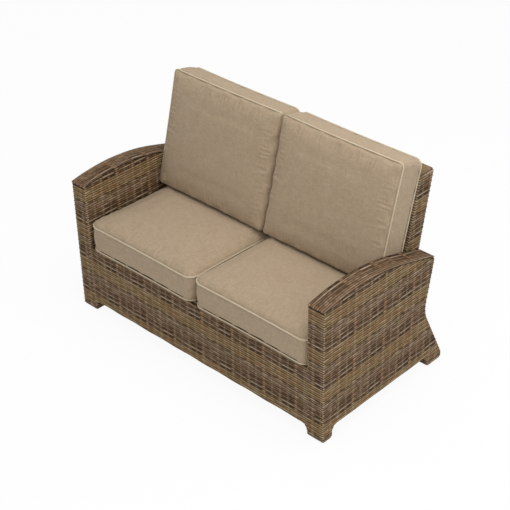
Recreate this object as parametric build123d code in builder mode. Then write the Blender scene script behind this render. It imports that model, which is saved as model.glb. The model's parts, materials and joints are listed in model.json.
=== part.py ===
from build123d import *
import os
from math import asin, atan, cos, radians, sin, sqrt, tan

os.makedirs("parts", exist_ok=True)

# A two-seat patio sofa: aluminium tubes wrapped in woven resin wicker, with four
# loose cushions. X runs across the seat, Y from the front to the back, Z up. The
# origin is on the floor in the middle of the footprint. A "run" is a distance
# back from the front plane, and an "inset" a distance in from a woven face.

# Whole seat
overall_width = 1370
overall_depth = 735
back_height = 870

# Arms
arm_width = 80
arm_crest_height = 632
arm_crest_run = 200
arm_arch_radius = 900
arm_arch_run = 450
arm_front_edge_radius = 8
arm_rear_edge_radius = 20

# Rear edge: the raked back, the waist and the flared leg
back_rake = 10.9
rear_top_run = 714
leg_flare = 26.5
heel_height = 32
waist_radius = 130
heel_radius = 25

# Feet and the lower edge of the weave
skirt_height = 55
foot_lift = 3
front_foot_length = 60
rear_foot_length = 95
foot_cove_radius = 28
foot_edge_radius = 12
cove_toe = 1.5

# Woven resin wicker
weave_thickness = 4
cap_thickness = 4
deck_height = 320
panel_thickness = 79
panel_edge_radius = 12
panel_corner_radius = 22

# Aluminium tubes
tube_size = 22
tube_wall = 1.5
leg_depth = 50
slat_width = 40
slat_height = 12
slats_per_side = 3
upright_spacing = 300
spacer_size = 18
spacer_offset = 90

# Plastic glides in the tube ends
glide_width = 18
front_glide_length = 36
rear_glide_length = 26
rear_glide_inset = 30
glide_edge_radius = 3
glide_stem_height = 12

# Clearances
weld_gap = 0.2
fit_gap = 0.3
lay_gap = 0.2
cut_overrun = 30

# Cushions
cushion_gap = 0.6
cover_thickness = 1.5
welt_radius = 3
seat_corner_radius = 42
back_front_corner_radius = 12
back_rear_corner_radius = 25
side_draw = 2.5
band_belly = 3
crown_reach = 120
seat_front_height = 434
seat_rear_height = 420
seat_crown_height = 463
seat_crown_run = 398
seat_base_inset = 14
back_cushion_rake = 14.7
back_cushion_face_run = 400.5
back_cushion_height = 511
back_cushion_thickness = 114
back_crown_front = 18
back_crown_rear = 13

# Zips in the cushion covers
zip_length = 440
zip_width = 7
zip_thickness = 1.6
zip_slider_length = 12
zip_slider_width = 9
zip_slider_height = 2

# A crown is lofted through outlines. Each pair gives the share of the reach by
# which an outline lies inside the seam, and the share of the crown that it has.
crown_shares = ((0, 0), (0.13, 0.48), (0.42, 0.82), (1, 1))

# Places that follow from the sizes above
front_y = -overall_depth / 2
arm_inner_x = overall_width / 2 - arm_width
half_span = arm_inner_x - fit_gap
rake_slope = tan(radians(back_rake))
flare_slope = tan(radians(leg_flare))
arch_centre_height = arm_crest_height - arm_arch_radius
arch_end_angle = asin((arm_arch_run - arm_crest_run) / arm_arch_radius)
tube_inset = weave_thickness + fit_gap
foot_base = foot_lift + weave_thickness
tube_base = foot_base + weld_gap
deck_underside = deck_height - weave_thickness - fit_gap
weave_drop = cap_thickness + lay_gap


def finish_piece(piece, name):
    """Label a finished piece and write it under its name."""
    piece.label = name
    export_step(piece, f"parts/{name}.step")


def side_plane(x):
    """Upright plane at x in which runs go to the right and heights go up."""
    return Plane(origin=(x, front_y, 0), x_dir=(0, 1, 0), z_dir=(1, 0, 0))


def front_plane(run):
    """Upright plane at a run, seen from the front."""
    return Plane(origin=(0, front_y + run, 0), x_dir=(1, 0, 0), z_dir=(0, -1, 0))


def rake_run(height, inset):
    """Run of the raked rear face at a height."""
    face = rear_top_run - rake_slope * (back_height - height)
    return face - inset / cos(radians(back_rake))


def flare_run(height, inset):
    """Run of the flared leg's rear face at a height."""
    face = overall_depth - flare_slope * (height - heel_height)
    return face - inset / cos(radians(leg_flare))


def waist_point(inset):
    """Where the raked face and the flared face would meet."""
    height = (flare_run(0, inset) - rake_run(0, inset)) / (rake_slope + flare_slope)
    return rake_run(height, inset), height


def heel_point(inset):
    """Where the flared face meets the upright heel."""
    run = overall_depth - inset
    return run, (flare_run(0, inset) - run) / flare_slope


def arch_point(angle, drop):
    """Point of the arm's arched top, at an angle past its crest."""
    radius = arm_arch_radius - drop
    return arm_crest_run + radius * sin(angle), arch_centre_height + radius * cos(angle)


def arch_height(run, drop):
    """Height of the arched top at a run in front of the arch's end."""
    radius = arm_arch_radius - drop
    return arch_centre_height + sqrt(radius**2 - (run - arm_crest_run) ** 2)


def fall_point(run, drop):
    """Point of the straight fall behind the arch."""
    end_run, end_height = arch_point(arch_end_angle, drop)
    return run, end_height - tan(arch_end_angle) * (run - end_run)


def arm_rear_corner(inset, drop):
    """Where the arm's falling top meets the raked rear face."""
    fall = tan(arch_end_angle)
    start_height = fall_point(rake_run(0, inset), drop)[1]
    height = start_height / (1 + fall * rake_slope)
    return rake_run(height, inset), height


def side_outline(inset, drop):
    """The arm seen from the side, inset all round and dropped along its top."""
    front_top = (inset, arch_height(inset, drop))
    arch_end = arch_point(arch_end_angle, drop)
    front_foot = front_foot_length - inset
    rear_foot = overall_depth - rear_foot_length + inset
    floor = foot_lift + inset
    skirt = skirt_height + inset
    foot_radius = foot_edge_radius - inset
    cove_radius = foot_cove_radius + inset
    corners = (
        (arm_rear_corner(inset, drop), arm_rear_edge_radius - inset),
        (waist_point(inset), waist_radius + inset),
        (heel_point(inset), heel_radius - inset),
        ((overall_depth - inset, floor), foot_radius),
        ((rear_foot, floor), foot_radius),
        ((rear_foot, skirt), cove_radius),
        ((front_foot, skirt), cove_radius),
        ((front_foot, floor), foot_radius),
        ((inset, floor), foot_radius),
    )
    with BuildSketch() as outline:
        with BuildLine():
            ThreePointArc(front_top, arch_point(0, drop), arch_end)
            FilletPolyline(
                arch_end,
                *(point for point, radius in corners),
                front_top,
                radius=[radius for point, radius in corners],
            )
        make_face()
        front_corner = outline.vertices().sort_by_distance(front_top)[0]
        fillet(front_corner, arm_front_edge_radius - inset)
    return outline.sketch


def under_arch(drop):
    """All that lies below the arm's top line, dropped by so much."""
    with BuildSketch() as region:
        with BuildLine():
            ThreePointArc(
                (0, arch_height(0, drop)), arch_point(0, drop), arch_point(arch_end_angle, drop)
            )
            Polyline(
                arch_point(arch_end_angle, drop),
                fall_point(overall_depth, drop),
                (overall_depth, 0),
                (0, 0),
                (0, arch_height(0, drop)),
            )
        make_face()
    return region.sketch


def rear_region(inset, low, high):
    """All that lies in front of the sabre-shaped rear edge, between two heights."""
    top = back_height + cut_overrun
    with BuildSketch() as region:
        with BuildLine():
            FilletPolyline(
                (0, top),
                (rake_run(top, inset), top),
                waist_point(inset),
                (flare_run(0, inset), 0),
                (0, 0),
                radius=[0, waist_radius + inset, 0],
            )
            Line((0, 0), (0, top))
        make_face()
        with Locations((0, (low + high) / 2)):
            Rectangle(2 * overall_depth, high - low, mode=Mode.INTERSECT)
    return region.sketch


def rear_band(inset, depth, low, high):
    """A strip that follows the rear edge from one inset to a deeper one."""
    with BuildSketch() as band:
        add(rear_region(inset, low, high))
        add(rear_region(inset + depth, low, high), mode=Mode.SUBTRACT)
    return band.sketch


def raked_strip(near, far, low, high):
    """A straight raked strip between two insets and two heights."""
    with BuildSketch() as strip:
        with BuildLine():
            Polyline(
                (rake_run(low, far), low),
                (rake_run(low, near), low),
                (rake_run(high, near), high),
                (rake_run(high, far), high),
                close=True,
            )
        make_face()
    return strip.sketch


def slab(outline, x_low, x_high):
    """An outline seen from the side, made solid between two places across the seat."""
    with BuildPart() as solid:
        with BuildSketch(side_plane(x_low)):
            add(outline)
        extrude(amount=x_high - x_low)
    return solid.part


def box_outline(runs, heights):
    """A plain rectangle between two runs and two heights."""
    with BuildSketch() as outline:
        with Locations((sum(runs) / 2, sum(heights) / 2)):
            Rectangle(runs[1] - runs[0], heights[1] - heights[0])
    return outline.sketch


def shrunk(span, margin):
    """A span made shorter by a margin at each end."""
    return span[0] + margin, span[1] - margin


def tube_across(runs, heights, x_low, x_high):
    """An open tube that runs across the seat."""
    with BuildPart() as tube:
        add(slab(box_outline(runs, heights), x_low, x_high))
        core = box_outline(shrunk(runs, tube_wall), shrunk(heights, tube_wall))
        add(slab(core, x_low, x_high), mode=Mode.SUBTRACT)
    return tube.part


def tube_back(runs, heights, x, width):
    """An open tube that runs from the front to the back."""
    tall = heights[1] - heights[0]
    with BuildPart() as tube:
        with BuildSketch(front_plane(runs[0])):
            with Locations((x, sum(heights) / 2)):
                Rectangle(width, tall)
                Rectangle(width - 2 * tube_wall, tall - 2 * tube_wall, mode=Mode.SUBTRACT)
        extrude(amount=runs[0] - runs[1])
    return tube.part


def hollow_slab(outline, core, x):
    """A tube known by its side view and the side view of its bore, centred at x."""
    with BuildPart() as tube:
        add(slab(outline, x - tube_size / 2, x + tube_size / 2))
        bore = shrunk((x - tube_size / 2, x + tube_size / 2), tube_wall)
        add(slab(core, *bore), mode=Mode.SUBTRACT)
    return tube.part


def common_outline(first, *others):
    """What all the outlines share."""
    with BuildSketch() as outline:
        add(first)
        for other in others:
            add(other, mode=Mode.INTERSECT)
    return outline.sketch


# Spans of the rails, as runs and heights
front_rail_runs = (tube_inset, tube_inset + tube_size)
seat_rail_heights = (deck_underside - tube_size, deck_underside)
lower_rail_heights = (skirt_height + tube_inset, skirt_height + tube_inset + tube_size)
rear_rail_runs = (
    rake_run(deck_underside, panel_thickness - tube_inset),
    rake_run(seat_rail_heights[0], tube_inset),
)
rear_lower_end = flare_run(lower_rail_heights[1], tube_inset)
rear_lower_runs = (rear_lower_end - tube_size, rear_lower_end)
cross_rails = {
    "seat_front_rail": (front_rail_runs, seat_rail_heights),
    "seat_rear_rail": (rear_rail_runs, seat_rail_heights),
    "front_lower_rail": (front_rail_runs, lower_rail_heights),
    "rear_lower_rail": (rear_lower_runs, lower_rail_heights),
}
rail_end_x = arm_inner_x + tube_inset - weld_gap

# Outlines of the arm tubes, seen from the side
post_runs = (tube_inset, front_foot_length - tube_inset)
top_tube_drop = weave_drop + tube_inset
below_top_tube = under_arch(top_tube_drop + tube_size + weld_gap)
arm_inside = side_outline(tube_inset, top_tube_drop)
leg_foot_run = flare_run(tube_base, tube_inset + leg_depth)
post_outline = common_outline(
    box_outline(post_runs, (tube_base, arm_crest_height)), below_top_tube, arm_inside
)
leg_outline = common_outline(
    rear_band(tube_inset, leg_depth, tube_base, arm_crest_height), below_top_tube, arm_inside
)
leg_core = rear_band(tube_inset + tube_wall, leg_depth - 2 * tube_wall, 0, arm_crest_height)
lower_outline = common_outline(
    box_outline((post_runs[1] + weld_gap, overall_depth), lower_rail_heights),
    rear_region(tube_inset + leg_depth + weld_gap, 0, arm_crest_height),
)
lower_core = box_outline((0, overall_depth), shrunk(lower_rail_heights, tube_wall))
with BuildSketch() as top_tube_sketch:
    add(arm_inside)
    add(under_arch(top_tube_drop + tube_size), mode=Mode.SUBTRACT)
top_outline = top_tube_sketch.sketch
with BuildSketch() as top_core_sketch:
    add(under_arch(top_tube_drop + tube_wall))
    add(under_arch(top_tube_drop + tube_size - tube_wall), mode=Mode.SUBTRACT)
top_core = top_core_sketch.sketch
arm_tubes = {
    "front_posts": (post_outline, box_outline(shrunk(post_runs, tube_wall), (0, arm_crest_height))),
    "rear_legs": (leg_outline, leg_core),
    "top_tubes": (top_outline, top_core),
    "lower_rails": (lower_outline, lower_core),
}

# Centres of the short tubes that hold each arm's two tube frames apart
crest_spacer_height = arm_crest_height - top_tube_drop - tube_size / 2
waist_spacer_height = deck_height + spacer_offset
foot_spacer_height = skirt_height + spacer_offset
spacer_centres = (
    (sum(post_runs) / 2, foot_spacer_height),
    (sum(post_runs) / 2, waist_spacer_height),
    (arm_crest_run, crest_spacer_height),
    ((post_runs[1] + leg_foot_run) / 2, sum(lower_rail_heights) / 2),
    (rake_run(waist_spacer_height, tube_inset + leg_depth / 2), waist_spacer_height),
    (flare_run(foot_spacer_height, tube_inset + leg_depth / 2), foot_spacer_height),
)

# Each glide has a pad on the floor and a stem up inside a tube
front_glide_run = front_foot_length / 2
rear_glide_run = overall_depth - rear_glide_inset
glides = {
    "front": (front_glide_run, front_glide_length),
    "rear": (rear_glide_run, rear_glide_length),
}
stem_width = tube_size - 2 * tube_wall - 2 * fit_gap

with BuildSketch() as cap_sketch:
    add(side_outline(0, 0))
    add(under_arch(cap_thickness), mode=Mode.SUBTRACT)
cap_outline = cap_sketch.sketch

# Arms and legs, one side after the other
for side, sign in (("left", -1), ("right", 1)):
    x_low, x_high = sorted((sign * arm_inner_x, sign * overall_width / 2))
    tube_half = tube_size / 2
    tube_places = shrunk((x_low, x_high), tube_inset + tube_half)

    with BuildPart() as arm_weave:
        add(slab(side_outline(0, weave_drop), x_low, x_high))
        hollow = side_outline(weave_thickness, weave_drop + weave_thickness)
        add(slab(hollow, *shrunk((x_low, x_high), weave_thickness)), mode=Mode.SUBTRACT)
        hole_span = sorted(
            (sign * (arm_inner_x - fit_gap), sign * (arm_inner_x + tube_inset))
        )
        for runs, heights in cross_rails.values():
            hole = box_outline(shrunk(runs, -fit_gap), shrunk(heights, -fit_gap))
            add(slab(hole, *hole_span), mode=Mode.SUBTRACT)
        for run, length in glides.values():
            with BuildSketch():
                with Locations(*((x, front_y + run) for x in tube_places)):
                    RectangleRounded(
                        glide_width + 2 * fit_gap,
                        length + 2 * fit_gap,
                        glide_edge_radius + fit_gap,
                    )
            extrude(amount=foot_base + fit_gap, mode=Mode.SUBTRACT)
    finish_piece(arm_weave.part, f"{side}_arm_weave")

    with BuildPart() as cap_weave:
        add(slab(cap_outline, x_low, x_high))
    finish_piece(cap_weave.part, f"{side}_arm_cap_weave")

    for name, (outline, core) in arm_tubes.items():
        with BuildPart() as tubes:
            for x in tube_places:
                add(hollow_slab(outline, core, x))
        finish_piece(tubes.part, f"{side}_arm_{name}")

    with BuildPart() as spacers:
        between = shrunk(tube_places, tube_half + weld_gap)
        for run, height in spacer_centres:
            spacer_runs = (run - spacer_size / 2, run + spacer_size / 2)
            spacer_heights = (height - spacer_size / 2, height + spacer_size / 2)
            add(tube_across(spacer_runs, spacer_heights, *between))
    finish_piece(spacers.part, f"{side}_arm_spacers")

    for end, (run, length) in glides.items():
        with BuildPart() as end_glides:
            with BuildSketch():
                with Locations(*((x, front_y + run) for x in tube_places)):
                    RectangleRounded(glide_width, length, glide_edge_radius)
            extrude(amount=foot_base)
            with BuildSketch(Plane.XY.offset(foot_base)):
                with Locations(*((x, front_y + run) for x in tube_places)):
                    Rectangle(stem_width, length)
            extrude(amount=glide_stem_height)
        finish_piece(end_glides.part, f"{side}_{end}_glides")

# Seat box
for name, (runs, heights) in cross_rails.items():
    with BuildPart() as cross_rail:
        add(tube_across(runs, heights, -rail_end_x, rail_end_x))
    finish_piece(cross_rail.part, name)

side_rail_x = half_span - tube_size / 2
box_runs = shrunk((front_rail_runs[1], rear_rail_runs[0]), weld_gap)
for name, x in (
    ("seat_left_side_rail", -side_rail_x),
    ("seat_centre_rail", 0),
    ("seat_right_side_rail", side_rail_x),
):
    with BuildPart() as long_rail:
        add(tube_back(box_runs, seat_rail_heights, x, tube_size))
    finish_piece(long_rail.part, name)

with BuildPart() as seat_slats:
    slat_pitch = side_rail_x / (slats_per_side + 1)
    slat_heights = (deck_underside - slat_height, deck_underside)
    for count in range(1, slats_per_side + 1):
        for sign in (-1, 1):
            add(tube_back(box_runs, slat_heights, sign * count * slat_pitch, slat_width))
finish_piece(seat_slats.part, "seat_slats")

upright_heights = shrunk((lower_rail_heights[1], seat_rail_heights[0]), weld_gap)
upright_outlines = {
    "front_uprights": (
        box_outline(front_rail_runs, upright_heights),
        box_outline(shrunk(front_rail_runs, tube_wall), upright_heights),
    ),
    "rear_uprights": (
        rear_band(tube_inset, tube_size, *upright_heights),
        rear_band(tube_inset + tube_wall, tube_size - 2 * tube_wall, *upright_heights),
    ),
}
for name, (outline, core) in upright_outlines.items():
    with BuildPart() as uprights:
        for count in (-1, 0, 1):
            add(hollow_slab(outline, core, count * upright_spacing))
    finish_piece(uprights.part, name)


def panel_outline(inset, base):
    """The woven back seen from the side, down to a base height."""
    top = back_height - inset
    far = panel_thickness - inset
    edge_radius = panel_edge_radius - inset
    with BuildSketch() as outline:
        with BuildLine():
            FilletPolyline(
                (rake_run(0, far), 0),
                (rake_run(top, far), top),
                (rake_run(top, inset), top),
                waist_point(inset),
                (flare_run(0, inset), 0),
                radius=[edge_radius, edge_radius, waist_radius + inset],
            )
            Line((flare_run(0, inset), 0), (rake_run(0, far), 0))
        make_face()
        with Locations((0, (base + back_height) / 2)):
            Rectangle(2 * overall_depth, back_height - base, mode=Mode.INTERSECT)
    return outline.sketch


def panel_front(inset):
    """The woven back seen from the front, with its rounded top corners, made solid."""
    half = half_span - inset
    with BuildPart() as solid:
        with BuildSketch(front_plane(0)) as front:
            with Locations((0, (back_height - inset) / 2)):
                Rectangle(2 * half, back_height - inset)
            fillet(front.vertices().group_by(Axis.Y)[-1], panel_corner_radius - inset)
        extrude(amount=-overall_depth)
    return solid.part


# Woven back
with BuildPart() as back_hollow:
    hollow_span = shrunk((-half_span, half_span), weave_thickness)
    add(slab(panel_outline(weave_thickness, skirt_height), *hollow_span))
    add(panel_front(weave_thickness), mode=Mode.INTERSECT)
with BuildPart() as back_weave:
    add(slab(panel_outline(0, deck_height - weave_thickness), -half_span, half_span))
    add(panel_front(0), mode=Mode.INTERSECT)
    add(back_hollow.part, mode=Mode.SUBTRACT)
finish_piece(back_weave.part, "back_weave")

# Tubes of the back: a rear frame and a front frame, held apart by spacers
rear_layer = (tube_inset, tube_inset + tube_size)
front_layer = (panel_thickness - tube_inset - tube_size, panel_thickness - tube_inset)
top_rail_heights = (back_height - tube_inset - tube_size, back_height - tube_inset)
base_rail_heights = (deck_underside + weld_gap, deck_underside + weld_gap + tube_size)
stile_heights = (deck_underside + weld_gap, top_rail_heights[0] - weld_gap)
stile_x = half_span - tube_inset - tube_size / 2
for name, x in (
    ("back_left_stiles", -stile_x),
    ("back_centre_stiles", 0),
    ("back_right_stiles", stile_x),
):
    with BuildPart() as stiles:
        for near, far in (rear_layer, front_layer):
            bore = raked_strip(*shrunk((near, far), tube_wall), *shrunk(stile_heights, -tube_wall))
            add(hollow_slab(raked_strip(near, far, *stile_heights), bore, x))
    finish_piece(stiles.part, name)


def layer_runs(heights):
    """Runs of a level tube in the rear frame and of one in the front frame."""
    rear_end = rake_run(heights[0], tube_inset)
    front_end = rake_run(heights[1], panel_thickness - tube_inset)
    return (rear_end - tube_size, rear_end), (front_end, front_end + tube_size)


with BuildPart() as back_top_rails:
    for runs in layer_runs(top_rail_heights):
        add(tube_across(runs, top_rail_heights, -half_span, half_span))
    add(slab(panel_outline(tube_inset, deck_height), -half_span, half_span), mode=Mode.INTERSECT)
    add(panel_front(tube_inset), mode=Mode.INTERSECT)
finish_piece(back_top_rails.part, "back_top_rails")

with BuildPart() as back_base_rails:
    base_span = shrunk((tube_size / 2, stile_x - tube_size / 2), weld_gap)
    for runs in layer_runs(base_rail_heights):
        add(tube_across(runs, base_rail_heights, *base_span))
        add(tube_across(runs, base_rail_heights, -base_span[1], -base_span[0]))
finish_piece(back_base_rails.part, "back_base_rails")

with BuildPart() as back_spacers:
    between_layers = shrunk((rear_layer[1], front_layer[0]), weld_gap)
    for height in (base_rail_heights[1] + spacer_offset, top_rail_heights[0] - spacer_offset):
        spacer_side = raked_strip(*between_layers, height, height + spacer_size)
        for x in (-stile_x, 0, stile_x):
            add(slab(spacer_side, x - spacer_size / 2, x + spacer_size / 2))
finish_piece(back_spacers.part, "back_spacers")

# Woven deck under the seat cushions
deck_heights = (deck_height - weave_thickness, deck_height)
deck_runs = (weave_thickness + fit_gap, rake_run(deck_heights[0], panel_thickness) - fit_gap)
with BuildPart() as seat_deck:
    deck_side = box_outline(deck_runs, deck_heights)
    add(slab(deck_side, -half_span, half_span))
finish_piece(seat_deck.part, "seat_deck_weave")


def skirt_opening():
    """The space between two feet seen from the front, with rounded upper corners."""
    half = half_span - cove_toe
    with BuildPart() as solid:
        with BuildSketch(front_plane(0)) as front:
            Rectangle(2 * half, 2 * skirt_height)
            fillet(front.vertices().group_by(Axis.Y)[-1], foot_cove_radius)
        extrude(amount=-overall_depth)
    return solid.part


# Woven fronts of the seat box. The weave turns under the lower rail and up again.
toe_height = skirt_height - foot_cove_radius
lip_span = shrunk((-half_span, half_span), cove_toe + foot_cove_radius)
lip_heights = (skirt_height, skirt_height + weave_thickness)
turn_heights = (skirt_height, skirt_height + 2 * weave_thickness)
front_turn_run = front_rail_runs[1] + fit_gap
rear_turn_run = rear_lower_runs[0] - fit_gap
with BuildPart() as front_apron:
    plate = box_outline((0, weave_thickness), (toe_height, deck_height))
    add(slab(plate, -half_span, half_span))
    add(skirt_opening(), mode=Mode.SUBTRACT)
    add(slab(box_outline((0, front_turn_run), lip_heights), *lip_span))
    turn_runs = (front_turn_run, front_turn_run + weave_thickness)
    add(slab(box_outline(turn_runs, turn_heights), *lip_span))
finish_piece(front_apron.part, "front_apron_weave")

with BuildPart() as rear_apron:
    rear_skin = rear_band(0, weave_thickness, toe_height, deck_height - weave_thickness - lay_gap)
    add(slab(rear_skin, -half_span, half_span))
    add(skirt_opening(), mode=Mode.SUBTRACT)
    skin_run = flare_run(lip_heights[1], weave_thickness / 2)
    add(slab(box_outline((rear_turn_run, skin_run), lip_heights), *lip_span))
    turn_runs = (rear_turn_run - weave_thickness, rear_turn_run)
    add(slab(box_outline(turn_runs, turn_heights), *lip_span))
finish_piece(rear_apron.part, "rear_apron_weave")

# Cushions. The welts are the widest part of a cushion, and its cover lies inside them.
seam_inset = 2 * welt_radius + fit_gap
cushion_x = half_span / 2
pad_width = half_span - cushion_gap - 2 * seam_inset
seat_depth = rake_run(deck_height, panel_thickness) - fit_gap
seat_pad_depth = seat_depth - 2 * seam_inset
back_pad_height = back_cushion_height - 2 * seam_inset
seat_base_height = deck_height + fit_gap
seat_seam_height = seat_base_height + welt_radius
foam_inset = cover_thickness + fit_gap
zip_pocket_depth = zip_thickness + fit_gap
lean_sine = sin(radians(back_cushion_rake))
lean_cosine = cos(radians(back_cushion_rake))


def pad_outline(width, depth, corner):
    """A cushion seen square on: round corners, and sides drawn in between them."""
    centre_x = width / 2 - corner
    centre_y = depth / 2 - corner
    turn_x = 2 * atan(side_draw / centre_x)
    turn_y = 2 * atan(side_draw / centre_y)
    start = (centre_x - corner * sin(turn_x), centre_y + corner * cos(turn_x))
    middle = (centre_x + corner / sqrt(2), centre_y + corner / sqrt(2))
    end = (centre_x + corner * cos(turn_y), centre_y - corner * sin(turn_y))
    long_middle = start[1] - start[0] * tan(turn_x / 2)
    short_middle = end[0] - end[1] * tan(turn_y / 2)
    with BuildSketch() as outline:
        with BuildLine():
            for flip_x in (1, -1):
                for flip_y in (1, -1):
                    ThreePointArc(*((flip_x * x, flip_y * y) for x, y in (start, middle, end)))
            for flip in (1, -1):
                long_side = ((-start[0], start[1]), (0, long_middle), start)
                ThreePointArc(*((x, flip * y) for x, y in long_side))
                short_side = ((end[0], -end[1]), (short_middle, 0), end)
                ThreePointArc(*((flip * x, y) for x, y in short_side))
        make_face()
    return outline.sketch


def stuffed_pad(groups, width, depth, nest, inset):
    """A pad lofted through outlines from seam to seam and pressed flat at its nest."""
    with BuildPart() as pad:
        for group in groups:
            for plane, growth, corner in group:
                margin = growth - inset
                with BuildSketch(plane):
                    add(pad_outline(width + 2 * margin, depth + 2 * margin, corner - inset))
            loft()
        split(bisect_by=nest.offset(-inset), keep=Keep.BOTTOM)
    return pad.part


def tilted_plane(x, front_height, rear_height):
    """Nearly level plane over a seat cushion's middle."""
    return Plane(
        origin=(x, front_y + seat_depth / 2, (front_height + rear_height) / 2),
        x_dir=(1, 0, 0),
        z_dir=(0, front_height - rear_height, seat_depth),
    )


def seat_nest(x):
    """Sloping top at the rear of a seat cushion, on which a back cushion stands."""
    return Plane(
        origin=(x, front_y + seat_crown_run, seat_crown_height),
        x_dir=(1, 0, 0),
        z_dir=(0, lean_sine, lean_cosine),
    )


def seat_pad(x, inset):
    """A seat cushion, thinned all over by an inset."""
    low = seat_seam_height + inset
    front = seat_front_height - inset
    rear = seat_rear_height - inset
    crown = seat_crown_height - inset
    base = tilted_plane(x, seat_base_height + inset, seat_base_height + inset)
    lower_seam = tilted_plane(x, low, low)
    upper_seam = tilted_plane(x, front, rear)
    belly = tilted_plane(x, (low + front) / 2, (low + rear) / 2)
    corner = seat_corner_radius
    crown_levels = []
    for reach, rise in crown_shares:
        level = tilted_plane(x, front + rise * (crown - front), rear + rise * (crown - rear))
        crown_levels.append((level, -reach * crown_reach, corner))
    base_levels = ((base, -seat_base_inset, corner), (lower_seam, 0, corner))
    band_levels = ((lower_seam, 0, corner), (belly, band_belly, corner), (upper_seam, 0, corner))
    groups = (base_levels, band_levels, crown_levels)
    return stuffed_pad(groups, pad_width, seat_pad_depth, seat_nest(x), inset)


def lean_plane(x):
    """Plane of a back cushion's front seam, over the middle of the cushion."""
    rise = fit_gap + back_cushion_height / 2
    drop = (back_cushion_face_run - seat_crown_run) * lean_sine / lean_cosine
    return Plane(
        origin=(
            x,
            front_y + back_cushion_face_run + rise * lean_sine,
            seat_crown_height - drop + rise * lean_cosine,
        ),
        x_dir=(1, 0, 0),
        z_dir=(0, -lean_cosine, lean_sine),
    )


def panel_plane(x):
    """The woven back's face, less a gap, against which a back cushion is squashed."""
    return Plane(
        origin=(x, front_y + rake_run(0, panel_thickness + fit_gap), 0),
        x_dir=(1, 0, 0),
        z_dir=(0, cos(radians(back_rake)), -sin(radians(back_rake))),
    )


def back_pad(x, inset):
    """A back cushion, thinned all over by an inset."""
    front = -inset
    rear = inset - back_cushion_thickness
    face = lean_plane(x)
    front_corner = back_front_corner_radius
    rear_corner = back_rear_corner_radius
    rear_levels = [
        (face.offset(rear - rise * back_crown_rear), -reach * crown_reach, rear_corner)
        for reach, rise in reversed(crown_shares)
    ]
    front_levels = [
        (face.offset(front + rise * back_crown_front), -reach * crown_reach, front_corner)
        for reach, rise in crown_shares
    ]
    band_levels = (
        (face.offset(rear), 0, rear_corner),
        (face.offset((front + rear) / 2), band_belly, (front_corner + rear_corner) / 2),
        (face.offset(front), 0, front_corner),
    )
    groups = (rear_levels, band_levels, front_levels)
    return stuffed_pad(groups, pad_width, back_pad_height, panel_plane(x), inset)


def welt_loops(seams, depth):
    """Round piping sewn along a cushion's seams. A seam is a plane and a corner radius."""
    reach = welt_radius + fit_gap
    with BuildPart() as welts:
        for plane, corner in seams:
            loop = pad_outline(pad_width + 2 * reach, depth + 2 * reach, corner + reach).wire()
            path = plane.from_local_coords(loop)
            with BuildSketch(Plane(origin=path @ 0, z_dir=path % 0)):
                Circle(welt_radius)
            sweep(path=path)
    return welts.part


def closed_zip(face):
    """A zip in a cover: its closed chain and, at one end, its slider."""
    with BuildPart() as chain:
        with BuildSketch(face):
            Rectangle(zip_length, zip_width)
        extrude(amount=-zip_thickness)
        with BuildSketch(face):
            with Locations(((zip_length - zip_slider_length) / 2, 0)):
                Rectangle(zip_slider_length, zip_slider_width)
        extrude(amount=zip_slider_height)
    return chain.part


def zip_pocket(face):
    """The slit in which a zip lies."""
    with BuildPart() as pocket:
        with BuildSketch(face.offset(-zip_pocket_depth)):
            Rectangle(zip_length + 2 * fit_gap, zip_slider_width + 2 * fit_gap)
        extrude(amount=zip_pocket_depth + cover_thickness + band_belly)
    return pocket.part


# Loose cushions, in pairs. A zip closes the rear of a seat cushion's cover and the
# underside of a back cushion's.
for side, sign in (("left", -1), ("right", 1)):
    x = sign * cushion_x
    seat_seams = (
        (tilted_plane(x, seat_seam_height, seat_seam_height), seat_corner_radius),
        (tilted_plane(x, seat_front_height, seat_rear_height), seat_corner_radius),
    )
    seat_zip_height = (seat_seam_height + seat_rear_height) / 2
    seat_zip_run = (seat_depth + seat_pad_depth) / 2 + band_belly - side_draw
    front_seam = lean_plane(x)
    back_seams = (
        (front_seam, back_front_corner_radius),
        (front_seam.offset(-back_cushion_thickness), back_rear_corner_radius),
    )
    zip_place = (0, side_draw - band_belly - back_pad_height / 2, -back_cushion_thickness / 2)
    cushions = {
        "seat": (
            seat_pad,
            welt_loops(seat_seams, seat_pad_depth),
            Plane((x, front_y + seat_zip_run, seat_zip_height), x_dir=(1, 0, 0), z_dir=(0, 1, 0)),
        ),
        "back": (
            back_pad,
            welt_loops(back_seams, back_pad_height),
            Plane(
                front_seam.from_local_coords(zip_place),
                x_dir=(1, 0, 0),
                z_dir=(0, -lean_sine, -lean_cosine),
            ),
        ),
    }
    for kind, (pad, welts, zip_face) in cushions.items():
        with BuildPart() as cover:
            add(pad(x, 0))
            add(pad(x, cover_thickness), mode=Mode.SUBTRACT)
            add(zip_pocket(zip_face), mode=Mode.SUBTRACT)
        finish_piece(cover.part, f"{side}_{kind}_cushion_cover")

        with BuildPart() as foam:
            add(pad(x, foam_inset))
            add(zip_pocket(zip_face), mode=Mode.SUBTRACT)
        finish_piece(foam.part, f"{side}_{kind}_cushion_foam")

        finish_piece(welts, f"{side}_{kind}_cushion_welts")
        finish_piece(closed_zip(zip_face), f"{side}_{kind}_cushion_zip")
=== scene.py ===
import json
from contextlib import contextmanager
from math import cos, floor, pi, radians, sin, tan

import bpy
import numpy as np
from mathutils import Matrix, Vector
from mathutils.kdtree import KDTree

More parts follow.
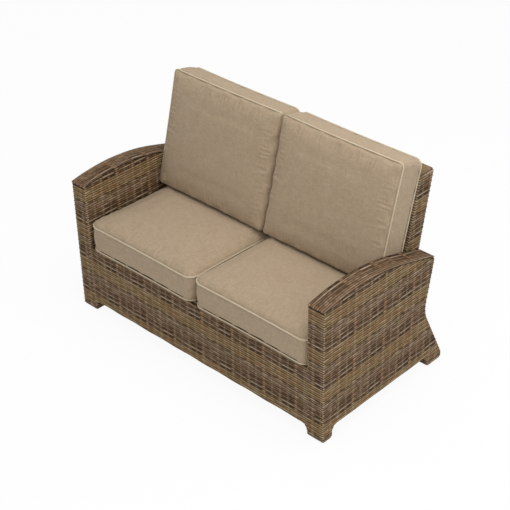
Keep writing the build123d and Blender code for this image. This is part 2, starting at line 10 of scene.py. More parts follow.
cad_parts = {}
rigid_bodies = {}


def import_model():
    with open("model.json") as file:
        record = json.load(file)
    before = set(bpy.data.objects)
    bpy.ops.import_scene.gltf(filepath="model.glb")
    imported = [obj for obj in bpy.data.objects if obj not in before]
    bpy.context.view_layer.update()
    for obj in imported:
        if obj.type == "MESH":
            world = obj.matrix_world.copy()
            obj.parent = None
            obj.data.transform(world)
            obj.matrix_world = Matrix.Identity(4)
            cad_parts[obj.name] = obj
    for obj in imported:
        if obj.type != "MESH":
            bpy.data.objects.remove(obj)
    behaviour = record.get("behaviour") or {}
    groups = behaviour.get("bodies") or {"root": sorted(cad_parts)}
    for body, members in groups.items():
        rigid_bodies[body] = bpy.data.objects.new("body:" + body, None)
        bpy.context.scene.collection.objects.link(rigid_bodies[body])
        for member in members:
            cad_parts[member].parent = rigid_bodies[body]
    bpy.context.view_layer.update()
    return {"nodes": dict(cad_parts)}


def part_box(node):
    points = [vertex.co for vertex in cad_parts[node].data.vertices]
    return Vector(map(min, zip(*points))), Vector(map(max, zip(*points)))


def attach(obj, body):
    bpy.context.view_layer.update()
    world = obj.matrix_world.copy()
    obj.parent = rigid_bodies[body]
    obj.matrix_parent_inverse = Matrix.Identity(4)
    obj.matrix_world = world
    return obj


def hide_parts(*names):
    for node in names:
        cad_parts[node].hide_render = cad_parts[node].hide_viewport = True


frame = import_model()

bl_info = {
    "name": "Patio Loveseat",
    "version": (1, 0, 0),
    "blender": (4, 5, 0),
    "location": "View3D > Sidebar > Loveseat",
    "description": "Dresses a patio loveseat in woven resin wicker and padded cushions",
    "category": "Object",
}

SIDES = {"left": -1, "right": 1}

# The loveseat's front, and the raked back: how far behind that front its rear face is at
# the top, its height, how thick it is across its slope, and how far behind its front
# face its middle lies.
FRONT = -0.3675
RAKE = radians(10.9)
BACK_REACH = 0.714
BACK_HEIGHT = 0.87
BACK_THICKNESS = 0.0793
BACK_MIDDLE = 0.0403

# The back cushions stand on the seat cushions' rear tops, which slope by the lean, and
# rest against the woven back. Each of these two planes has a place, in Y and Z. The back
# holds a cushion only up to its own top, here with a little to spare.
LEAN = radians(14.7)
NEST_PLACE = (0.0305, 0.463)
PANEL_PLACE = (FRONT + BACK_REACH - BACK_HEIGHT * tan(RAKE) - BACK_THICKNESS / cos(RAKE), 0.0)
PANEL_TOP = 0.88
NO_TOP = 9.0

# Where the grooves between two strands are cut, as shares of a strand's width
STRAND_PHASES = (0.0, 0.08, 0.26, 0.5, 0.74, 0.92)
DECK_PHASES = (0.0, 0.5)

# Columns cut across one repeat
COLUMNS = 12

# How straight a face looks up, down or to one side to count as a top, as the bottom or
# as being on that side
TOP_FACE = 0.8
BOTTOM_FACE = -0.9
SIDE_FACE = 0.5

# Faces that meet at less than the first angle are one flat face, and edges that turn less
# than the second are shaded soft.
FLAT_BELOW = radians(0.1)
SOFT_BELOW = radians(60)

# How far below an arm's outer face its outline is taken, and how far the core by which
# the back's inner walls are told from its outer ones stays from the back's edges
SKIN_DEPTH = 0.001
CORE_INSET = 0.04

# Points this close are one point, the first in a CAD mesh and the second in an outline
# cut from one. A point this near a plane lies on it. No cut is nearer than the margin to
# a piece's end. A point's row of strands may be off by the rounding.
SAME_POINT = 1e-6
SAME_CORNER = 2e-4
ON_PLANE = 1e-5
END_MARGIN = 1e-4
ROUNDING = 1e-4


# Settings


class WeaveSettings(bpy.types.PropertyGroup):
    """Sizes and colours of the woven resin wicker."""

    tile: bpy.props.FloatProperty(
        name="Repeat up", description="Height over which the bands repeat",
        default=0.1685, subtype="DISTANCE")
    tile_across: bpy.props.FloatProperty(
        name="Repeat across", description="Length of a repeat on the front and the back",
        default=0.165, subtype="DISTANCE")
    tile_back: bpy.props.FloatProperty(
        name="Repeat on the sides", description="Length of a repeat on the arms' sides",
        default=0.173, subtype="DISTANCE")
    tile_rows: bpy.props.IntProperty(
        name="Strands per repeat", description="Strands in one repeat of the pattern",
        default=16)
    first_row: bpy.props.FloatProperty(
        name="Pattern base", description="Height at which one repeat starts",
        default=0.0915, subtype="DISTANCE")
    start_across: bpy.props.FloatProperty(
        name="Dash across", description="Middle of one dark dash on the front",
        default=0.007, subtype="DISTANCE")
    start_back: bpy.props.FloatProperty(
        name="Dash on the sides", description="Middle of one dark dash on the arms' sides",
        default=-0.2425, subtype="DISTANCE")
    stake_share: bpy.props.FloatProperty(
        name="Stake place",
        description="Share of a repeat between a dark dash and the next stake",
        default=0.29)
    depth: bpy.props.FloatProperty(
        name="Groove depth", description="How deep the grooves between the strands are",
        default=0.0034, subtype="DISTANCE")
    cap_row: bpy.props.IntProperty(
        name="Row under a cap",
        description="Strand, counted from the pattern base, right below a cap's front",
        default=48)
    cap_strands: bpy.props.IntProperty(
        name="Strands on an arm cap", description="Strands side by side on an arm's top",
        default=8)
    cap_depth: bpy.props.FloatProperty(
        name="Cap groove depth",
        description="Depth of an arm cap's grooves, as a share of the others",
        default=0.75)
    deck_start: bpy.props.FloatProperty(
        name="Deck strand", description="Place of one strand of the seat deck",
        default=-0.36, subtype="DISTANCE")
    deck_depth: bpy.props.FloatProperty(
        name="Deck groove depth", description="How deep the grooves in the seat deck are",
        default=0.0016, subtype="DISTANCE")
    arm_rim: bpy.props.FloatProperty(
        name="Outer arm edge",
        description="Widest bevel of an arm's outer edge, held to what its shortest edges allow",
        default=0.015, subtype="DISTANCE")
    inner_rim: bpy.props.FloatProperty(
        name="Inner arm edge", description="Bevel of an arm's edge on the side of the seat",
        default=0.0025, subtype="DISTANCE")
    cap_rim: bpy.props.FloatProperty(
        name="Cap edge", description="Bevel of the two long edges of an arm cap",
        default=0.0018, subtype="DISTANCE")
    olive: bpy.props.FloatVectorProperty(
        name="Olive tan", description="Colour of the olive bands",
        default=(0.545, 0.455, 0.315), subtype="COLOR_GAMMA", min=0, max=1)
    grey: bpy.props.FloatVectorProperty(
        name="Grey brown", description="Colour of the grey bands",
        default=(0.540, 0.452, 0.362), subtype="COLOR_GAMMA", min=0, max=1)
    brown: bpy.props.FloatVectorProperty(
        name="Brown", description="Colour of the brown strands beside the dashes",
        default=(0.415, 0.312, 0.212), subtype="COLOR_GAMMA", min=0, max=1)
    dark: bpy.props.FloatVectorProperty(
        name="Dark brown", description="Colour of the dark dashes",
        default=(0.190, 0.128, 0.075), subtype="COLOR_GAMMA", min=0, max=1)
    pale: bpy.props.FloatVectorProperty(
        name="Pale grey", description="Colour of the palest strands",
        default=(0.690, 0.605, 0.500), subtype="COLOR_GAMMA", min=0, max=1)
    rust: bpy.props.FloatVectorProperty(
        name="Rust", description="Colour of the reddish streaks",
        default=(0.570, 0.405, 0.270), subtype="COLOR_GAMMA", min=0, max=1)


class CushionSettings(bpy.types.PropertyGroup):
    """Sizes and colours of the cushions."""

    voxel: bpy.props.FloatProperty(
        name="Cloth mesh", description="Size of the cloth's mesh before it is subdivided",
        default=0.0075, subtype="DISTANCE")
    pressure: bpy.props.FloatProperty(
        name="Pressure", description="Pressure with which the filling pushes the cover out",
        default=4.0)
    frames: bpy.props.IntProperty(
        name="Frames", description="Steps of the cloth simulation", default=20)
    ease: bpy.props.FloatProperty(
        name="Ease", description="Share by which the cloth is cut larger than the pad",
        default=0.006)
    stiffness: bpy.props.FloatProperty(
        name="Bending stiffness", description="How much the cloth resists small folds",
        default=0.3)
    seam_hold: bpy.props.FloatProperty(
        name="Seam hold",
        description="Distance from the piping over which the seams hold the cloth",
        default=0.010, subtype="DISTANCE")
    swell: bpy.props.FloatProperty(
        name="Largest swell", description="Furthest that a point of the cover may move",
        default=0.010, subtype="DISTANCE")
    roll: bpy.props.FloatProperty(
        name="Rolled edge", description="How far a face rolls up beside its piping",
        default=0.007, subtype="DISTANCE")
    belly: bpy.props.FloatProperty(
        name="Band belly", description="How far the band between two seams bulges",
        default=0.006, subtype="DISTANCE")
    fold: bpy.props.FloatProperty(
        name="Fold spacing", description="Distance between the small folds along a seam",
        default=0.021, subtype="DISTANCE")
    fold_height: bpy.props.FloatProperty(
        name="Fold height", description="How high the small folds along a seam are",
        default=0.0022, subtype="DISTANCE")
    piping: bpy.props.FloatProperty(
        name="Piping radius", description="Radius of the piping along the seams",
        default=0.003, subtype="DISTANCE")
    cloth: bpy.props.FloatVectorProperty(
        name="Cloth", description="Colour of the cover",
        default=(0.694, 0.614, 0.511), subtype="COLOR_GAMMA", min=0, max=1)
    # The piping is the cover's cloth painted paler, as a painted highlight on its round welts
    piping_cloth: bpy.props.FloatVectorProperty(
        name="Piping", description="Colour of the piping",
        default=(0.815, 0.755, 0.655), subtype="COLOR_GAMMA", min=0, max=1)


class StudioSettings(bpy.types.PropertyGroup):
    """The floor, the lamps and the camera."""

    camera_place: bpy.props.FloatVectorProperty(
        name="Camera", description="Where the camera stands",
        default=(3.1542, -3.2447, 3.3344), subtype="TRANSLATION")
    azimuth: bpy.props.FloatProperty(
        name="Azimuth", description="Turn of the camera round the loveseat",
        default=radians(42.2866), subtype="ANGLE")
    elevation: bpy.props.FloatProperty(
        name="Elevation", description="How far the camera looks down",
        default=radians(34.2203), subtype="ANGLE")
    lens: bpy.props.FloatProperty(
        name="Lens", description="Focal length in millimetres on a 36 mm sensor", default=94.13)
    shift: bpy.props.FloatVectorProperty(
        name="Shift", description="Shift of the picture", size=2, default=(-0.0752, 0.0464))


# Shared helpers


def settings(name):
    """The scene's own settings of that name."""
    return getattr(bpy.context.scene, name)


def only(obj):
    """Select this object alone and make it the active one."""
    bpy.ops.object.select_all(action="DESELECT")
    obj.select_set(True)
    bpy.context.view_layer.objects.active = obj


@contextmanager
def editing(obj, kind="VERT", chosen=None):
    """Edit a mesh, with all of it selected or only what is chosen by its numbers."""
    only(obj)
    bpy.ops.object.mode_set(mode="EDIT")
    bpy.ops.mesh.select_mode(type=kind)
    bpy.ops.mesh.select_all(action="SELECT" if chosen is None else "DESELECT")
    if chosen is not None:
        bpy.ops.object.mode_set(mode="OBJECT")
        mesh = obj.data
        items = {"VERT": mesh.vertices, "EDGE": mesh.edges, "FACE": mesh.polygons}[kind]
        for number in chosen:
            items[number].select = True
        bpy.ops.object.mode_set(mode="EDIT")
    yield
    bpy.ops.mesh.select_mode(type="VERT")
    bpy.ops.object.mode_set(mode="OBJECT")


def copy_of(node, name):
    """A loose copy of a CAD node, with its doubled points merged."""
    obj = bpy.data.objects.new(name, frame["nodes"][node].data.copy())
    obj.data.name = name
    obj.data.materials.clear()
    bpy.context.scene.collection.objects.link(obj)
    with editing(obj):
        bpy.ops.mesh.remove_doubles(threshold=SAME_POINT)
    return obj


def apply_modifier(obj, kind, **values):
    """Add a modifier, set it and apply it."""
    only(obj)
    bpy.ops.object.modifier_add(type=kind)
    modifier = obj.modifiers[-1]
    for key, value in values.items():
        setattr(modifier, key, value)
    bpy.ops.object.modifier_apply(modifier=modifier.name)


def array_of(items, key, width=3, kind=float):
    """One property of all of a mesh's points, faces or corners, with a row for each."""
    values = np.empty(len(items) * width, dtype=kind)
    items.foreach_get(key, values)
    return values.reshape(-1, width)


def finish_piece(obj, body, material, nodes=()):
    """Give a piece its body, its material and the CAD nodes that it stands for."""
    obj.data.materials.clear()
    obj.data.materials.append(material)
    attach(obj, body)
    if nodes:
        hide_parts(*nodes)


def cut_rows(axis, places):
    """In edit mode, cut all that shows at each place along an axis."""
    normal = [0, 0, 0]
    normal[axis] = 1
    for place in places:
        point = [0, 0, 0]
        point[axis] = place
        bpy.ops.mesh.select_all(action="SELECT")
        bpy.ops.mesh.bisect(plane_co=point, plane_no=normal)


def steps(low, high, step, origin=0.0, phases=(0.0,)):
    """Places between two ends, at each phase of a regular step."""
    places = []
    count = floor((low - origin) / step)
    while origin + count * step < high:
        places += [origin + (count + phase) * step for phase in phases]
        count += 1
    return [place for place in places if low + END_MARGIN < place < high - END_MARGIN]


def length_axis(normals, row_axis):
    """The axis along which the strands run on a face with each normal."""
    if row_axis == 0:
        return np.ones(len(normals), dtype=int)
    if row_axis == 1:
        return np.zeros(len(normals), dtype=int)
    return np.where(np.abs(normals[:, 0]) > np.abs(normals[:, 1]), 1, 0)


def repeats_along(points, axes):
    """How many repeats of the pattern lie between its start and each point."""
    look = settings("loveseat_weave")
    starts = np.array((look.start_across, look.start_back))[axes]
    tiles = np.array((look.tile_across, look.tile_back))[axes]
    return (points[np.arange(len(points)), axes] - starts) / tiles


def cut_strands(obj, row_axis, pitch, origin, column_axes, phases):
    """Cut an object's faces along its strands, and across them at even shares of a repeat."""
    look = settings("loveseat_weave")
    low, high = (Vector(corner) for corner in (obj.bound_box[0], obj.bound_box[6]))
    with editing(obj):
        cut_rows(row_axis, steps(low[row_axis], high[row_axis], pitch, origin, phases))
        for axis in column_axes:
            start = (look.start_across, look.start_back)[axis]
            tile = (look.tile_across, look.tile_back)[axis]
            cut_rows(axis, steps(
                low[axis], high[axis], tile / COLUMNS, start + tile * look.stake_share))


def mark_grooves(obj, row_axis, pitch, origin, facing):
    """Weigh each point by how far it sinks between strands, and under the stakes."""
    points = array_of(obj.data.vertices, "co")
    normals = array_of(obj.data.vertices, "normal")
    along = repeats_along(points, length_axis(normals, row_axis))
    rows = (points[:, row_axis] - origin) / pitch
    row = np.floor(rows + ROUNDING)
    phase = np.clip(rows - row, 0, 1)
    crest = np.sqrt(np.clip(1 - (2 * phase - 1) ** 2, 0, 1))
    share = settings("loveseat_weave").stake_share
    over = 0.5 + 0.5 * np.cos(pi * ((along - share) * 2 + row))
    sunk = 1 - crest * (0.5 + 0.5 * over)
    sunk[np.abs(normals[:, row_axis]) > TOP_FACE] = 0
    if any(facing):
        sunk[normals @ np.array(facing) < SIDE_FACE] = 0
    group = obj.vertex_groups.new(name="sunk")
    for index, weight in enumerate(sunk):
        group.add([index], float(weight), "REPLACE")


def lay_pattern(mesh, row_axis, pitch, origin):
    """Keep how far along and up each corner lies, in repeats of the pattern, as a UV map."""
    normals = array_of(mesh.polygons, "normal")
    totals = array_of(mesh.polygons, "loop_total", 1, np.int32).ravel()
    corners = array_of(mesh.loops, "vertex_index", 1, np.int32).ravel()
    points = array_of(mesh.vertices, "co")[corners]
    axes = np.repeat(length_axis(normals, row_axis), totals)
    tops = np.repeat((row_axis == 2) & (np.abs(normals[:, 2]) > TOP_FACE), totals)
    uv = np.empty((len(corners), 2))
    uv[:, 0] = repeats_along(points, np.where(tops, 0, axes))
    uv[:, 1] = np.where(tops, points[:, 1], points[:, row_axis] - origin)
    uv[:, 1] /= pitch * settings("loveseat_weave").tile_rows
    while mesh.uv_layers:
        mesh.uv_layers.remove(mesh.uv_layers[0])
    mesh.uv_layers.new(name="strand").data.foreach_set("uv", uv.ravel())


def weave(obj, row_axis, pitch, origin, depth, column_axes, facing=(0, 0, 0),
          phases=STRAND_PHASES):
    """Turn an object's smooth faces into strands that pass over and under stakes.

    The strands lie side by side along the row axis. Where a facing is given, only the
    side that looks that way gets grooves.
    """
    cut_strands(obj, row_axis, pitch, origin, column_axes, phases)
    mark_grooves(obj, row_axis, pitch, origin, facing)
    lay_pattern(obj.data, row_axis, pitch, origin)
    apply_modifier(obj, "DISPLACE", vertex_group="sunk", mid_level=0.0, strength=-depth)
    obj.vertex_groups.clear()
    bpy.ops.object.shade_smooth_by_angle(angle=SOFT_BELOW)


def weave_panel(obj, column_axes, facing=(0, 0, 0)):
    """Weave an upright panel with the strands of the loveseat's bands."""
    look = settings("loveseat_weave")
    weave(obj, 2, look.tile / look.tile_rows, look.first_row, look.depth, column_axes, facing)


# Materials


class Wire:
    """A value in a material's node tree. Sums on it add Math nodes."""

    def __init__(self, sheet, socket):
        self.sheet = sheet
        self.socket = socket

    def math(self, operation, *values):
        """One Math node on these values."""
        return self.sheet.node("ShaderNodeMath", {"operation": operation}, *values)

    def __add__(self, other):
        return self.math("ADD", self, other)

    def __sub__(self, other):
        return self.math("SUBTRACT", self, other)

    def __rsub__(self, other):
        return self.math("SUBTRACT", other, self)

    def __mul__(self, other):
        return self.math("MULTIPLY", self, other)

    def __truediv__(self, other):
        return self.math("DIVIDE", self, other)

    def __pow__(self, other):
        return self.math("POWER", self, other)

    __radd__ = __add__
    __rmul__ = __mul__

    def floor(self):
        return self.math("FLOOR", self)

    def size(self):
        """The value without its sign."""
        return self.math("ABSOLUTE", self)

    def fraction(self):
        return self.math("FRACT", self)

    def wave(self):
        """Sine of this many turns."""
        return self.math("SINE", self * (2 * pi))

    def above(self, edge, soft):
        """0 below an edge and 1 above it, with a soft step."""
        return self.sheet.node(
            "ShaderNodeMapRange", {"interpolation_type": "SMOOTHSTEP"},
            self, edge - soft, edge + soft, 0.0, 1.0)

    def between(self, low, high, soft):
        """1 between two edges and 0 outside them."""
        return self.above(low, soft) * (1 - self.above(high, soft))

    def numbered(self, number):
        """1 where a whole value is this number, and 0 elsewhere."""
        return self.between(number - 0.5, number + 0.5, 0.05)


class Sheet:
    """A new material and its node tree."""

    def __init__(self, name):
        self.material = bpy.data.materials.new(name)
        self.material.use_nodes = True
        self.tree = self.material.node_tree
        self.shader = self.tree.nodes["Principled BSDF"]

    def node(self, kind, settings, *values, out=0):
        """Add a node: its settings first, then the values or links of its sockets."""
        node = self.tree.nodes.new(kind)
        for key, value in settings.items():
            setattr(node, key, value)
        sockets = [socket for socket in node.inputs if socket.enabled]
        for socket, value in zip(sockets, values):
            self.feed(socket, value)
        return Wire(self, [socket for socket in node.outputs if socket.enabled][out])

    def feed(self, socket, value):
        """Set a socket to a value, or link it to a wire."""
        if isinstance(value, Wire):
            self.tree.links.new(value.socket, socket)
        elif value is not None:
            socket.default_value = value

    def mix(self, factor, first, second, blend="MIX"):
        """Mix two colours."""
        first, second = (
            (*value, 1.0) if isinstance(value, (tuple, list)) and len(value) == 3 else value
            for value in (first, second))
        node = self.tree.nodes.new("ShaderNodeMix")
        node.data_type = "RGBA"
        node.blend_type = blend
        self.feed(node.inputs["Factor"], factor)
        colours = [socket for socket in node.inputs if socket.type == "RGBA"]
        self.feed(colours[0], first)
        self.feed(colours[1], second)
        return Wire(self, next(socket for socket in node.outputs if socket.type == "RGBA"))

    def shaded(self, colour, value):
        """A colour made darker or lighter by a value."""
        grey = self.node("ShaderNodeCombineColor", {}, value, value, value)
        return self.mix(1.0, colour, grey, "MULTIPLY")

    def noise(self, vector, scale, detail, roughness):
        """Noise on a vector, about 0 to 1 and 0.5 in the middle."""
        return self.node(
            "ShaderNodeTexNoise", {"noise_dimensions": "3D"}, vector, scale, detail, roughness)

    def vector(self, x, y, z=0.0):
        """A vector of three values."""
        return self.node("ShaderNodeCombineXYZ", {}, x, y, z)

    def place(self):
        """A point's place on the object, in metres."""
        return self.node("ShaderNodeTexCoord", {}, out=3)

    def parts(self, vector):
        """The three values of a vector."""
        node = self.tree.nodes.new("ShaderNodeSeparateXYZ")
        self.feed(node.inputs[0], vector)
        return [Wire(self, socket) for socket in node.outputs]

    def bump(self, height, distance, strength):
        """Raise the surface by a height."""
        node = self.tree.nodes.new("ShaderNodeBump")
        node.inputs["Strength"].default_value = strength
        node.inputs["Distance"].default_value = distance
        self.feed(node.inputs["Height"], height)
        self.tree.links.new(node.outputs[0], self.shader.inputs["Normal"])

    def put(self, **values):
        """Set sockets of the shader by name, with _ for a space."""
        for key, value in values.items():
            self.feed(self.shader.inputs[key.replace("_", " ")], value)


def linear(colour):
    """A display colour as the scene's own linear colour."""
    return tuple(c / 12.92 if c <= 0.04045 else ((c + 0.055) / 1.055) ** 2.4 for c in colour)


# Where the marks of the weave lie. Levels are shares of a repeat's height, and the
# columns and dashes are shares of a repeat's length. At a stake the olive bands begin
# higher, by the scallop, and the painted shadow below them is left out.
OLIVE_LEVELS = (0.580, 0.995)
OLIVE_SHADOW_LEVELS = (0.575, 0.635)
OLIVE_SHADOW_ARC = (0.25, 0.15)
LEVEL_SOFTNESS = 0.012
BROWN_LEVEL = 0.40
SCALLOP_HEIGHT = 0.055
SCALLOP_POWER = 1.6
DRIFT_HEIGHT = 0.05
STRONG_DASH = (0.355, 0.730)
FAINT_DASH = (0.20, 0.84)
DASH_SOFTNESS = 0.02
WOBBLE = 0.09
STAKE_COLUMN = (0.44, 0.56)
HALF_STAKE_COLUMN = (0.055, 0.945)
STAKE_SOFTNESS = 0.04
RUST_COLUMNS = ((-0.06, 0.06), (0.93, 1.1))

# How often each kind of unevenness changes along a repeat, and from strand to strand or,
# for patches and the drift, up a repeat
STREAK_SCALES = (2.3, 3.17)
TINT_SCALES = (4.7, 1.93)
FLECK_SCALES = (11.0, 5.71)
GRAIN_SCALES = (30.0, 5.0)
PATCH_SCALES = (2.1, 5.3)
DRIFT_SCALE = 1.3

# Where in its noise each mark begins, and how softly
PATCH_EDGE = (0.52, 0.07)
TINT_EDGE = (0.40, 0.15)
BROWN_EDGE = (0.56, 0.1)
PALE_EDGE = (0.58, 0.08)
FLECK_EDGE = (0.58, 0.08)

# How strongly each mark covers what lies under it
BROWN_SHARE = 0.75
RUST_SHARE = 0.36
LEAST_RUST = 0.12
RUST_COLUMN_SHARE = 0.35
STRONG_SHARE = 0.86
FAINT_SHARE = 0.52
SECOND_DASH_SHARE = 0.85
THIRD_DASH_SHARE = 0.55
PALE_DASH_SHARE = 0.6
BROWN_STREAK = 0.55
PALE_STREAK = 0.45
DARK_FLECK = 0.45
LESS_STREAK_ON_OLIVE = 0.25
LESS_FLECK_ON_OLIVE = 0.2
# Painted shadow below the olive bands
OLIVE_SHADOW_SHARE = 0.6
# Painted highlights at the stakes, weaker on tops
STAKE_HIGHLIGHT_SHARE = 0.42
HALF_STAKE_HIGHLIGHT_SHARE = 0.34
LESS_STAKE_HIGHLIGHT_ON_TOP = 0.7
# Painted highlight on the rounded corners
CORNER_HIGHLIGHT_SHARE = 0.6
# Painted shadow below a cap
CAP_SHADOW_SHARE = 0.85

# How far up a surface looks where it counts as a top, where the painted highlights at the
# stakes are weaker, how far two ways at once where it counts as a corner, for the painted
# highlight there, and how far backwards where it is no longer a front, each with its
# softness. The painted shadow below a cap shows on fronts up to this place in Y.
TOP_LOOK = (0.6, 0.2)
CORNER_LOOK = (0.25, 0.15)
FRONT_LOOK = (-0.8, 0.1)
ARM_FRONT = -0.33

# Painted shade and painted light on the strands: how bright the painted shade in the groove
# between two strands is, how much brighter their middles are painted and where they begin,
# and how bright a strand is painted over a stake and how much less, as painted shade, under one
GROOVE_SHADE = 0.23
MIDDLE_LIGHT = 0.82
MIDDLE_LIGHT_EDGE = (0.48, 0.34)
OVER_STAKE_LIGHT = 1.10
UNDER_STAKE_SHADE = 0.26


def uneven(sheet, first, second, scales, shift=0, detail=2.0, roughness=0.6):
    """Noise that changes at one pace along the first value and at another along the second."""
    place = sheet.vector(first * scales[0] + shift, second * scales[1])
    return sheet.noise(place, 1.0, detail, roughness)


def banded(sheet, across, up, row, fleck):
    """The strands' colour before the dashes, and the painted shadow below the olive bands."""
    look = settings("loveseat_weave")
    streak = uneven(sheet, across, row, STREAK_SCALES, detail=3.0, roughness=0.65)
    tint = uneven(sheet, across, row, TINT_SCALES, shift=31)
    patch = uneven(sheet, across, up, PATCH_SCALES, shift=5, roughness=0.5)
    drift = sheet.noise(
        sheet.vector(across * DRIFT_SCALE, up * DRIFT_SCALE + 7),
        scale=1.0, detail=2.0, roughness=0.5)
    from_stake = (across - look.stake_share).fraction()
    stake = (across * 2 + 0.5 - 2 * look.stake_share).fraction()
    arc = (stake * 2 - 1).size()
    band = up.fraction()
    scallop = (1 - arc) ** SCALLOP_POWER * SCALLOP_HEIGHT
    level = band - (scallop + (drift - 0.5) * DRIFT_HEIGHT)
    olive = level.above(OLIVE_LEVELS[0], LEVEL_SOFTNESS)
    olive *= 1 - band.above(OLIVE_LEVELS[1], soft=0.005)
    # Painted shadow below the olive bands, left out at the stakes
    seam = level.between(*OLIVE_SHADOW_LEVELS, LEVEL_SOFTNESS) * arc.above(*OLIVE_SHADOW_ARC)
    lower = 1 - level.above(BROWN_LEVEL, soft=0.16)
    first, second = (from_stake.between(*column, soft=0.05) for column in RUST_COLUMNS)

    colour = sheet.mix(lower * BROWN_SHARE, linear(look.grey), linear(look.brown))
    colour = sheet.mix(olive, colour, linear(look.olive))
    rusty = patch.above(*PATCH_EDGE) * (LEAST_RUST + olive * RUST_SHARE) * tint.above(*TINT_EDGE)
    colour = sheet.mix(rusty, colour, linear(look.rust))
    colour = sheet.mix((first + second) * lower * RUST_COLUMN_SHARE, colour, linear(look.rust))
    brown = streak.above(*BROWN_EDGE) * (BROWN_STREAK - olive * LESS_STREAK_ON_OLIVE)
    colour = sheet.mix(brown, colour, linear(look.brown))
    colour = sheet.mix((1 - streak).above(*PALE_EDGE) * PALE_STREAK, colour, linear(look.pale))
    flecks = fleck.above(*FLECK_EDGE) * (DARK_FLECK - olive * LESS_FLECK_ON_OLIVE)
    return sheet.mix(flecks, colour, linear(look.dark)), seam


def dashed(sheet, across, row, fleck, colour):
    """A colour with a repeat's dashes, on its lowest strands: three dark ones and one pale."""
    look = settings("loveseat_weave")
    number = (row / look.tile_rows).fraction() * look.tile_rows
    dash = (across + 0.5).fraction() + (fleck - 0.5) * WOBBLE
    strong = dash.between(*STRONG_DASH, DASH_SOFTNESS)
    faint = 1 - dash.between(*FAINT_DASH, DASH_SOFTNESS)
    dashes = strong * STRONG_SHARE + faint * FAINT_SHARE
    dark = (number.numbered(0) + number.numbered(2) * SECOND_DASH_SHARE) * dashes
    dark += number.numbered(4) * strong * THIRD_DASH_SHARE
    colour = sheet.mix(dark, colour, linear(look.dark))
    pale = number.numbered(1) * dashes * PALE_DASH_SHARE
    return sheet.mix(pale, colour, linear(look.pale))


def wicker_material():
    """Round resin strands in olive, grey brown and dark brown dashes."""
    look = settings("loveseat_weave")
    sheet = Sheet("woven_wicker")
    across, up, _ = sheet.parts(sheet.node("ShaderNodeUVMap", {"uv_map": "strand"}))
    facing = sheet.parts(sheet.node("ShaderNodeNewGeometry", {}, out=1))
    rows = up * look.tile_rows
    row = rows.floor()
    crest = 1 - ((rows - row) * 2 - 1) ** 2
    fleck = uneven(sheet, across, row, FLECK_SCALES)

    colour, seam = banded(sheet, across, up, row, fleck)
    colour = dashed(sheet, across, row, fleck, colour)
    # Painted shadow below the olive bands
    colour = sheet.mix(seam * OLIVE_SHADOW_SHARE, colour, linear(look.dark))

    # Painted highlight: pale stripes on the strands' middles where they bulge over the stakes,
    # weaker on tops
    stake = (across * 2 + 0.5 - 2 * look.stake_share).fraction()
    whole = stake.between(*STAKE_COLUMN, STAKE_SOFTNESS)
    half = 1 - stake.between(*HALF_STAKE_COLUMN, STAKE_SOFTNESS)
    less_on_top = 1 - facing[2].above(*TOP_LOOK) * LESS_STAKE_HIGHLIGHT_ON_TOP
    stakes = (whole * STAKE_HIGHLIGHT_SHARE + half * HALF_STAKE_HIGHLIGHT_SHARE) * crest * less_on_top
    colour = sheet.mix(stakes, colour, linear(look.pale))

    # Painted highlight: pale strands on the rounded upright corners
    corner = (facing[0] * facing[1]).size().above(*CORNER_LOOK)
    colour = sheet.mix(corner * crest * CORNER_HIGHLIGHT_SHARE, colour, linear(look.pale))
    # Painted shadow: the strand right below an arm cap's front is painted dark on the arms'
    # fronts
    behind = sheet.parts(sheet.place())[1].above(ARM_FRONT, soft=0.01)
    in_front = (1 - facing[1].above(*FRONT_LOOK)) * (1 - behind)
    cap_shadow = row.numbered(look.cap_row) * in_front
    colour = sheet.mix(cap_shadow * CAP_SHADOW_SHARE, colour, linear(look.dark))

    # Painted shade and light: the grooves and the dips under the stakes are painted darker, the
    # strands' middles and their rises over the stakes lighter
    under = ((across - look.stake_share) + row * 0.5 + 0.25).wave() * -0.5 + 0.5
    shade = (GROOVE_SHADE + crest.above(*MIDDLE_LIGHT_EDGE) * MIDDLE_LIGHT) * (OVER_STAKE_LIGHT - under * UNDER_STAKE_SHADE)
    sheet.put(Base_Color=sheet.shaded(colour, shade), Roughness=0.65, Specular_IOR_Level=0.15)
    grain = uneven(sheet, across, rows, GRAIN_SCALES, detail=3.0)
    sheet.bump(grain, distance=0.0006, strength=0.6)
    return sheet.material


# Width of a thread, and how often the slubs change in a metre, along X and along Y and Z
THREAD = 0.0011
WIDE_SLUBS = (36, 260)
TALL_SLUBS = (260, 42)

# Tints of the cloth's warm and cool parts, and how uneven the cloth and the piping are
WARM_TINT = (1.006, 0.999, 0.992)
COOL_TINT = (0.994, 1.0, 1.008)
CLOTH_CONTRAST = 0.42
PIPING_CONTRAST = 0.2


